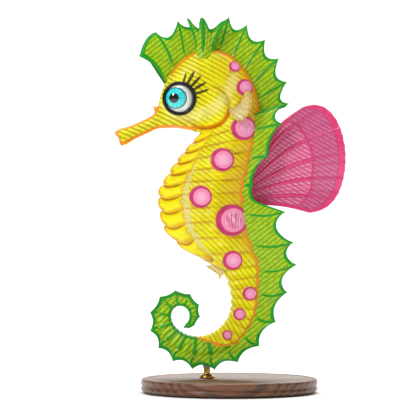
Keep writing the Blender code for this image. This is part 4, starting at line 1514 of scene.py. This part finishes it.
@dataclass
class Crest:
    """The spiny web along head, back and tail."""

    body: Body
    coronet: Coronet
    finish: CrestFinish
    # station, and how high the crest is there in mm
    heights: tuple = (
        (-7.9, 12.2), (-7, 13.6), (-6.1, 13.0), (-3.6, 12.0), (-2, 12.4), (-1, 12.2), (0.4, 10.6), (1.5, 9.8),
        (3, 7.8), (4.2, 4.6), (5.5, 3.5), (6.4, 4.7), (7.5, 14.4), (9.5, 14.8), (11.5, 13.4), (13.5, 10.1),
        (16, 7.3), (20, 5.6), (26, 4.3), (29, 3.5), (32, 2.8), (36, 2.1), (42, 1.5), (45, 0.4),
    )
    head_spines: tuple[float, ...] = (-7.9, -7.0, -6.1, -4.9, -3.6, -2.8, -2.0, -1.25, -0.45, 0.4)
    lean: float = 13.0  # degrees outwards from the body's own upright
    dips: tuple = ((-15, 0.29), (10, 0.29), (16, 0.34), (24, 0.42), (46, 0.5))  # by how much it dips between spines
    brow_swell: float = 0.1  # in front of its second spine the web bulges, and doesn't dip
    brow_sweep: float = 4.6  # how far its first spine hooks forwards
    root: float = 0.9  # mm under the skin
    film: Pair = (0.26, 0.13)  # half thickness at the foot and at the margin
    spine_radius: Pair = (0.62, 0.2)
    hem: float = 0.14  # how much thicker the margin is
    sag: float = 0.45  # how far the film hangs sideways between two spines
    ray_bow: float = 1.1  # how far the spines bow towards the tail
    outwards: int = 18  # rows of points from foot to margin
    # where the columns between two spines lie
    steps: tuple[float, ...] = (
        0.0, 0.025, 0.05, 0.08, 0.12, 0.18, 0.27, 0.38, 0.5, 0.62, 0.73, 0.82, 0.88, 0.92, 0.95, 0.975,
    )

    def spine_places(self) -> list[float]:
        """The stations of all spines."""
        return [*self.head_spines, *(ring + 0.5 for ring in range(1, self.body.tip - 1, 2))]

    def stations(self, first: float, last: float) -> Array:
        """Where a web's columns lie: close together at its spines.

        Args:
            first: Its first station.
            last: Its last one.

        Returns:
            Rising stations.
        """
        spines = self.spine_places()
        places = {first, last}
        for before, after in zip(spines, spines[1:]):
            places.update(before + (after - before) * s for s in self.steps)
        return np.array(sorted(p for p in places if first <= p <= last))

    def sheet(self, stations: Array, side: int, height: Array, level: Array) -> tuple[Array, ...]:
        """Lays the web's middle surface.

        Args:
            stations: Its columns' stations.
            side: As for build.
            height: The columns' heights.
            level: How high its points lie, as (column, place up it).

        Returns:
            Its points, the way across it at each column, and the share of the way up at each point.
        """
        line = np.full_like(stations, self.body.ridges[0] if side else 0.0)
        foot = self.body.surface(stations, line, side or 1, 1.0)[0]
        if not side:
            foot[:, 1] = 0.0
        _, up, _, _ = self.body.frame_at(stations)
        lean = math.radians(self.lean * side)
        out, across = up * math.cos(lean) + Y_AXIS * math.sin(lean), Y_AXIS * math.cos(lean) - up * math.sin(lean)
        risen = np.clip(level / np.maximum(height, 0.3)[:, None], 0, 1)
        # The brow's web hooks forwards, and behind the shoulder the rays bow towards the tail.
        first, _, third, *_ = self.head_spines
        knots = ((first, self.brow_sweep), (third, self.brow_sweep * 0.15), (-5.0, 0.0), (self.body.tip, 0.0))
        hook = of_pairs(knots)(stations)
        bow = self.ray_bow * ramp(stations, 5.0, 8.0) * np.minimum(1.0, height / 8.0)
        ahead = hook[:, None] * risen**2.6 - bow[:, None] * np.sin(math.pi * risen)
        middle = foot[:, None] + out[:, None] * level[..., None] + np.cross(up, Y_AXIS)[:, None] * ahead[..., None]
        return middle, across, risen

    def build(self, name: str, first: float, last: float, side: int, *nodes: str) -> bpy.types.Object:
        """Models one web.

        Args:
            name: The piece's name.
            first: Its first station.
            last: Its last one.
            side: 1 or -1 for the web on a ridge, 0 for one in the middle.
            nodes: The CAD nodes that it replaces.

        Returns:
            The piece.
        """
        stations, spines = self.stations(first, last), np.array(self.spine_places())
        before = np.clip(np.searchsorted(spines, stations, side="right"), 1, len(spines) - 1) - 1
        share = np.clip((stations - spines[before]) / (spines[before + 1] - spines[before]), 0, 1)
        dip = np.where(stations < self.head_spines[1], -self.brow_swell, of_pairs(self.dips)(stations))
        height = of_pairs(self.heights)(stations) * (1 - dip * np.sin(math.pi * share) ** 0.75)
        level = -self.root + (height + self.root)[:, None] * np.linspace(0, 1, self.outwards) ** 0.9
        middle, across, risen = self.sheet(stations, side, height, level)
        # Between its spines the film sags to one side and the other in turn.
        small = np.minimum(1.0, height / 3.0 + 0.2)[:, None]
        beat = (np.where(before % 2 == 0, 1.0, -1.0) * np.sin(math.pi * share))[:, None]
        middle = middle + across[:, None] * (beat * self.sag * small * risen**1.4)[..., None]

        gap = length(np.diff(middle, axis=0))
        gap = np.vstack([gap, gap[-1:]])
        mean_gap = gap.mean(axis=1)
        along = np.concatenate([[0.0], np.cumsum(mean_gap[:-1])])
        own_spines = np.interp([s for s in spines if first <= s <= last], stations, along)
        nearest = np.abs(along[:, None] - own_spines).min(axis=1)
        to_ray = (nearest / np.maximum(mean_gap, 1e-6))[:, None] * gap
        radius = span(self.spine_radius, risen) * small
        hem = self.hem * bump(height[:, None] - level, 0.8) * small
        film = span(self.film, risen) * (0.6 + 0.4 * small) + hem
        half = np.maximum(film, np.sqrt(np.clip(radius**2 - to_ray**2, 0, None)))
        half[:, -1] *= 0.35
        to_end = np.minimum(along, along[-1] - along)[:, None]
        to_margin = np.minimum(np.maximum(height[:, None] - level, 0.0), to_end)
        mark = np.stack([to_margin, to_ray, risen], -1)
        keep = np.ones(len(stations), bool)
        if not side:
            middle, keep = self.coronet.keep_out(middle)
        normal = np.broadcast_to(across[:, None], middle.shape)
        web = Web(middle[keep], normal[keep], half[keep], mark[keep])
        return put_up(name, web.mesh(), self.finish.material(), Slot.CREST, *nodes)

    def build_all(self) -> None:
        """Models the two webs on the head and one along each ridge."""
        self.build("web_brow", -8.05, -4.9, 0, "crest_brow")
        self.build("web_nape", -4.6, 0.55, 0, "crest_nape")
        lengths = ("shoulder", "back", "loin", *(f"tail_{n}" for n in range(1, 7)))
        for side in Side:
            nodes = (f"crest_{name}_{side.label}" for name in lengths)
            self.build(f"web_{side.label}", 0.3, 45.0, side, *nodes)


@dataclass
class Fin:
    """A fin's film and rays, fanned out from its foot."""

    body: Body
    finish: FinFinish
    rays: int
    outwards: int  # rows of points from foot to tip
    film: Pair  # half its thickness at the foot and at the tip
    ray_radius: Pair
    steps: tuple[float, ...] = (0.0, 0.02, 0.045, 0.08, 0.13, 0.2, 0.35, 0.5, 0.65, 0.8, 0.87, 0.92, 0.955, 0.98)
    bold: tuple[int, ...] = ()  # rays that are nearly twice as thick
    bold_ray: float = 1.9
    bold_width: float = 1.0  # half the painted width of a bold ray at its foot
    fringe: float = 0.006  # how much further the rays reach than the film between them
    ripple: float = 0.16
    ray_joint: float = 1.1  # mm between a ray's joints
    root: float = 0.8  # mm under the skin

    def columns(self) -> Array:
        """Where the columns lie.

        Returns:
            Shares of the way across, close together at each ray.
        """
        gaps = self.rays - 1
        return np.array([*((ray + s) / gaps for ray in range(gaps) for s in self.steps), 1.0])

    def web(self, foot: Array, tip: Array, bow: Array, normal: Array, wave: Array) -> Web:
        """Fans the film out.

        Args:
            foot: The foot of each column, in mm.
            tip: Its tip.
            bow: How far and where to it bows half way.
            normal: The film's normal, for all columns.
            wave: How far each column's tip waves along the normal.

        Returns:
            The fin's web.
        """
        columns, gaps = self.columns(), self.rays - 1
        ray, share = np.floor(columns * gaps), (columns * gaps) % 1
        tip = foot + (tip - foot) * (1 - self.fringe * np.sin(math.pi * share) ** 0.7)[:, None]
        long = length(tip - foot)[:, None]
        start = -self.root / long
        v = start + (1 - start) * np.linspace(0, 1, self.outwards)
        out = np.clip(v, 0, 1)
        # Between its rays the film ripples to one side and the other in turn.
        ripple = self.ripple * (np.sin(math.pi * share) * np.where(ray % 2 == 0, 1, -1))[:, None] * out
        middle = foot[:, None] + (tip - foot)[:, None] * v[..., None]
        middle = middle + bow[:, None] * np.sin(math.pi * out)[..., None]
        middle = middle + normal * (wave[:, None] * out**1.5 + ripple)[..., None]
        gap = length(np.gradient(middle, axis=0)) / np.gradient(columns)[:, None] / gaps
        to_ray = np.minimum(share, 1 - share)[:, None] * gap
        thick = np.isin(np.round(columns * gaps), self.bold)[:, None]
        joints = 1 + 0.1 * np.cos(out * long * 2 * math.pi / self.ray_joint)
        radius = span(self.ray_radius, out) * np.where(thick, self.bold_ray, 1.0) * joints
        half = np.maximum(span(self.film, out), np.sqrt(np.clip(radius**2 - to_ray**2, 0, None)))
        half[:, -1] *= 0.4
        to_ray = to_ray - np.where(thick, self.bold_width * (1 - 0.5 * out), 0.0)
        mark = np.stack([(1 - out) * long, to_ray, out], -1)
        return Web(middle, np.broadcast_to(normal, middle.shape), half, mark)


@dataclass
class BackFin(Fin):
    """The fin in the middle of the back, whose rays fan out like a shell's."""

    base: Pair = (4.5, 6.95)  # the stations of its first and last ray
    hub: Pair = (6.0, 69.0)  # where the rays' lines meet, X and Z
    spread: Pair = (56.0, -20.0)  # degrees above X
    reach: Pair = (42.7, 28.2)  # mm from the hub
    corner: float = 0.2  # how much shorter the outermost rays are
    bulge: float = 3.4
    wave_height: float = 1.5

    def build(self) -> bpy.types.Object:
        """Models the fin.

        Returns:
            The piece.
        """
        across = self.columns()
        stations = span(self.base, across)
        foot = self.body.surface(stations, np.zeros_like(stations))[0]
        angle = np.radians(span(self.spread, across))
        reach = span(self.reach, across) * (1 - self.corner * np.abs(2 * across - 1) ** 5)
        c, s, zero = np.cos(angle), np.sin(angle), np.zeros_like(across)
        tip = np.stack([self.hub[0] + reach * c, zero, self.hub[1] + reach * s], -1)
        bow = np.stack([-s, zero, c], -1) * (self.bulge * (1 - 0.7 * across))[:, None]
        web = self.web(foot, tip, bow, Y_AXIS, self.wave_height * np.sin(2 * math.pi * (across * 1.5 + 0.1)))
        # Under the front and hind rays the film ends in an edge of its own.
        side_edge = np.minimum(*(length(web.middle - web.middle[end]) for end in (0, -1)))
        web.mark[..., 0] = np.minimum(web.mark[..., 0], side_edge)
        return put_up("fin_back", web.mesh(), self.finish.material(), Slot.BACK_FIN, "dorsal_fin")


@dataclass
class SideFins(Fin):
    """The pair of small fins behind the gill covers."""

    station: float = -0.75
    angles: Pair = (64.0, 100.0)
    length: float = 6.8
    spread: Pair = (62.0, -50.0)
    stands_off: float = 28.0  # degrees from the body
    wave_height: float = 0.35

    def build(self, side: Side) -> bpy.types.Object:
        """Models one fin.

        Args:
            side: Its side.

        Returns:
            The piece.
        """
        across = self.columns()
        ends = [self.body.surface(np.array(self.station), np.array(a), side)[0] for a in self.angles]
        off = math.radians(self.stands_off)
        along = np.array((math.cos(off), side * math.sin(off), 0.0))
        angle = np.radians(span(self.spread, across))[:, None]
        foot = span(ends, (0.2 + 0.6 * across)[:, None]) + Y_AXIS * side * 0.5
        reach = self.length * (1 - 0.25 * np.abs(2 * across - 1) ** 3)
        tip = foot + (along * np.cos(angle) + Z_AXIS * np.sin(angle)) * reach[:, None]
        wave = self.wave_height * np.sin(2 * math.pi * across)
        web = self.web(foot, tip, np.zeros_like(foot), np.cross(Z_AXIS, along), wave)
        nodes, finish = f"pectoral_fin_{side.label}", self.finish.material()
        return put_up(f"fin_{side.label}", web.mesh(), finish, Slot.CLEAR_FIN, nodes)


@dataclass
class VentFin(Fin):
    """The tiny fin under the vent."""

    base: Pair = (10.55, 11.25)
    length: float = 2.4

    def build(self) -> bpy.types.Object:
        """Models the fin.

        Returns:
            The piece.
        """
        across = self.columns()
        stations = span(self.base, across)
        foot = self.body.surface(stations, np.full_like(stations, 180.0))[0]
        _, up, _, _ = self.body.frame_at(stations)
        backwards = np.cross(Y_AXIS, up) * (0.9 * across)[:, None]
        tip = foot + (backwards - up) * (self.length * (1 - 0.2 * across))[:, None]
        web = self.web(foot, tip, np.zeros_like(foot), Y_AXIS, np.zeros_like(across))
        return put_up("fin_vent", web.mesh(), self.finish.material(), Slot.CLEAR_FIN, "anal_fin")


@dataclass
class Eyes:
    """Two glass eyes, each with a slightly bulging cornea."""

    finish: EyeFinish
    radii: Triple = (4.9, 3.4, 4.9)
    cornea: float = 0.35  # how far it bulges
    cornea_radius: float = 3.3
    segments: int = 72

    def build(self, side: Side, finish: bpy.types.Material) -> bpy.types.Object:
        """Models one eye.

        Args:
            side: Its side.
            finish: The painted glass.

        Returns:
            The piece.
        """
        bm = bmesh.new()
        turn = Matrix.Rotation(math.radians(90), 4, "X")
        bmesh.ops.create_uvsphere(bm, u_segments=self.segments, v_segments=self.segments // 2, radius=1, matrix=turn)
        bmesh.ops.scale(bm, vec=self.radii, verts=bm.verts)
        gaze, centre = Vector(self.finish.gaze).normalized(), Vector(self.finish.centre)
        gaze.y *= side
        centre.y *= side
        for vert in bm.verts:
            ahead = vert.co.dot(gaze)
            aside = (vert.co - gaze * ahead).length
            if ahead > 0:
                vert.co += gaze * self.cornea * float(bump(aside, self.cornea_radius))
        bmesh.ops.translate(bm, vec=centre, verts=bm.verts)
        return put_up(f"glass_eye_{side.label}", bm, finish, Slot.EYE, f"eye_{side.label}")


@dataclass
class Stand:
    """A turned walnut base on felt, with a brass rod that ends in a soft sleeve under the tail."""

    body: Body
    radius: float = 30.0
    height: float = 5.0
    felt: float = 0.5
    rod_x: float = -7.6
    rod_radius: float = 1.1
    collar: Pair = (2.6, 1.3)  # radius and height
    sleeve: Pair = (0.28, 3.4)  # thickness and length
    rounding: float = 0.9
    # mm in from the rim, and up from the foot or down from the top
    foot_and_cove: tuple = (
        (1.3, 0.0), (0.5, 0.15), (0.12, 0.5), (0.0, 0.9), (0.0, 1.5),
        (0.28, 1.68), (0.4, 1.95), (0.28, 2.22), (0.02, 2.4),
    )
    incised_ring: tuple = ((2.6, 0.0), (2.75, 0.16), (3.0, 0.22), (3.25, 0.16), (3.4, 0.0))
    collar_steps: tuple = ((0.2, 0.0), (0.0, 0.2), (0.0, 0.55), (0.15, 0.7), (0.3, 0.75), (0.35, 0.9), (0.55, 1.15))
    steps: int = 160
    rod_steps: int = 48

    def base_profile(self) -> Points:
        """The base's outline, with a cove in its side and an incised ring on top.

        Returns:
            (radius, height) pairs.
        """
        r, h, low, soft = self.radius, self.height, self.felt, self.rounding
        foot = [(0.0, low), *((r - inwards, low + up) for inwards, up in self.foot_and_cove)]
        bend = [(r - soft + soft * math.cos(a), h - soft + soft * math.sin(a)) for a in np.linspace(0, math.pi / 2, 9)]
        return [*foot, *bend, *((r - inwards, h - down) for inwards, down in self.incised_ring), (0.0, h)]

    def rod_profile(self, top: float) -> Points:
        """The rod's outline with its collar.

        Args:
            top: The rod's upper end.

        Returns:
            (radius, height) pairs.
        """
        r, (wide, tall), low = self.rod_radius, self.collar, self.height
        collar = [(0.0, low), *((wide - inwards, low + up) for inwards, up in self.collar_steps)]
        shaft = [(r + 0.45, low + tall), (r + 0.12, low + tall + 0.12), (r, low + tall + 0.45)]
        end = [(r, top - 0.35), (r - 0.1, top - 0.1), (r - 0.35, top), (0.0, top)]
        return [*collar, *shaft, *end]

    def build(self) -> None:
        """Models base, felt, rod and sleeve."""
        base = lathe(self.base_profile(), self.steps)
        put_up("stand_walnut", base, WalnutFinish().material(), Slot.BASE, "stand_base")
        r, thick = self.radius - 1.4, self.felt + 0.02
        disc = [(0.0, 0.0), (r - 0.2, 0.0), (r, 0.12), (r, thick), (0.0, thick)]
        put_up("stand_felt", lathe(disc, self.steps // 2), FeltFinish().material(), Slot.BASE)
        bend = self.body.surface(np.linspace(18, 30, 121), np.zeros(121))[0]
        top = float(bend[np.abs(bend[:, 0] - self.rod_x) < self.rod_radius, 2].min())
        rod = lathe(self.rod_profile(top - 0.35), self.rod_steps, self.rod_x)
        put_up("stand_brass", rod, BrassFinish().material(), Slot.ROD, "stand_rod")
        thick, tall = self.sleeve
        inner, r = self.rod_radius - 0.02, self.rod_radius + thick
        outside = [(inner, top - tall), (r - 0.08, top - tall), (r, top - tall + 0.1), (r, top - 0.25)]
        cap = [(r - 0.1, top + 0.02), (r - 0.35, top + 0.12), (0.0, top + 0.12), (0.0, top - 0.4), (inner, top - 0.4)]
        sleeve = lathe([*outside, *cap], self.rod_steps, self.rod_x)
        put_up("stand_sleeve", sleeve, SleeveFinish().material(), Slot.ROD)


@dataclass
class Studio:
    """A white sweep, soft lights and a long lens level with the animal."""

    centre: Pair = (-9.1, 64.8)  # what the lens looks at, X and Z in mm
    frame_width: float = 138.0  # mm seen at the animal
    distance: float = 900.0
    sensor: float = 36.0
    sweep_half: float = 3.0  # metres, as the sweep's other sizes
    sweep_rows: int = 240
    bend_from: float = 0.55
    bend_radius: float = 0.9
    lights: tuple = (
        # name, place in mm, what it points at in mm, size in mm, watts
        ("key", (-480, -500, 600), (-9, 0, 65), 240, 3.75),
        ("fill", (520, -560, 260), (-9, 0, 65), 500, 0.6),
        ("top", (40, 60, 720), (-9, 0, 65), 520, 1.4),
        ("rim", (260, 420, 380), (-9, 0, 65), 260, 0.5),
        ("backdrop", (0, 500, 1500), (0, 1300, 150), 1200, 20.0),
    )
    sky: float = 0.28
    sky_colour: str = "#FFFFFF"

    def build(self) -> None:
        """Sets up sweep, lights and camera."""
        scene = bpy.context.scene
        self.build_sweep()
        target = Vector((self.centre[0], 0, self.centre[1])) * MM
        for name, place, aim, size, watts in self.lights:
            data = bpy.data.lights.new(name, "AREA")
            data.shape, data.size, data.energy = "DISK", size * MM, watts
            lamp = bpy.data.objects.new(name, data)
            lamp.location = Vector(place) * MM
            lamp.rotation_euler = (Vector(aim) * MM - lamp.location).to_track_quat("-Z", "Y").to_euler()
            scene.collection.objects.link(lamp)
        scene.world = bpy.data.worlds.new("studio")
        scene.world.use_nodes = True
        sky = scene.world.node_tree.nodes["Background"]
        sky.inputs["Color"].default_value = srgb(self.sky_colour)
        sky.inputs["Strength"].default_value = self.sky
        lens = bpy.data.cameras.new("camera")
        lens.sensor_width = self.sensor
        lens.lens = self.sensor * self.distance / self.frame_width
        lens.clip_start, lens.clip_end = 0.01, 20.0
        camera = bpy.data.objects.new("camera", lens)
        camera.location = target + Vector((0, -self.distance * MM, 0))
        camera.rotation_euler = (math.radians(90), 0, 0)
        scene.collection.objects.link(camera)
        scene.camera = camera
        scene.view_settings.view_transform = "Standard"

    def build_sweep(self) -> None:
        """Lays a floor that bends up into a backdrop far behind."""
        bm = bmesh.new()
        bmesh.ops.create_grid(bm, x_segments=1, y_segments=self.sweep_rows, size=self.sweep_half)
        for vert in bm.verts:
            beyond = vert.co.y - self.bend_from
            if beyond > 0:
                turn = min(beyond / self.bend_radius, math.pi / 2)
                rise = beyond - turn * self.bend_radius
                vert.co.y = self.bend_from + self.bend_radius * math.sin(turn)
                vert.co.z = self.bend_radius * (1 - math.cos(turn)) + rise
        mesh = bpy.data.meshes.new("sweep")
        bm.to_mesh(mesh)
        bm.free()
        mesh.shade_smooth()
        mesh.materials.append(PaperFinish().material())
        sweep = bpy.data.objects.new("sweep", mesh)
        bpy.context.scene.collection.objects.link(sweep)


def main() -> None:
    """Builds every sub-assembly in order."""
    logging.basicConfig(level=logging.INFO, format="%(name)s %(message)s")
    body = Body()
    Studio().build()
    Skin(body, SkinFinish()).build()
    glass = EyeFinish()
    painted = glass.material()
    for side in Side:
        Eyes(glass).build(side, painted)
    green = CrestFinish()
    crown = Coronet(green)
    crown.build()
    Crest(body, crown, green).build_all()
    bold = tuple(range(2, 15, 3))
    BackFin(body, FinFinish(), rays=18, outwards=72, film=(0.2, 0.12), ray_radius=(0.42, 0.16), bold=bold).build()
    clear = FinFinish(
        name="cast_resin_film_clear", film="#F5E28A", pale="#FBF2C0", band="#F0D878", streak="#C9A03C",
        ray_colour="#D9A83E", margin_colour="#E2AC44", stripe=1.7, band_from=0.8, margin=0.3, ray=0.14, fine_ray=0.8,
        clearness=0.45,
    )
    for side in Side:
        SideFins(body, clear, rays=14, outwards=30, film=(0.13, 0.08), ray_radius=(0.22, 0.09)).build(side)
    VentFin(body, clear, rays=5, outwards=16, film=(0.13, 0.08), ray_radius=(0.2, 0.1)).build()
    Stand(body).build()


if __name__ == "__main__":
    main()
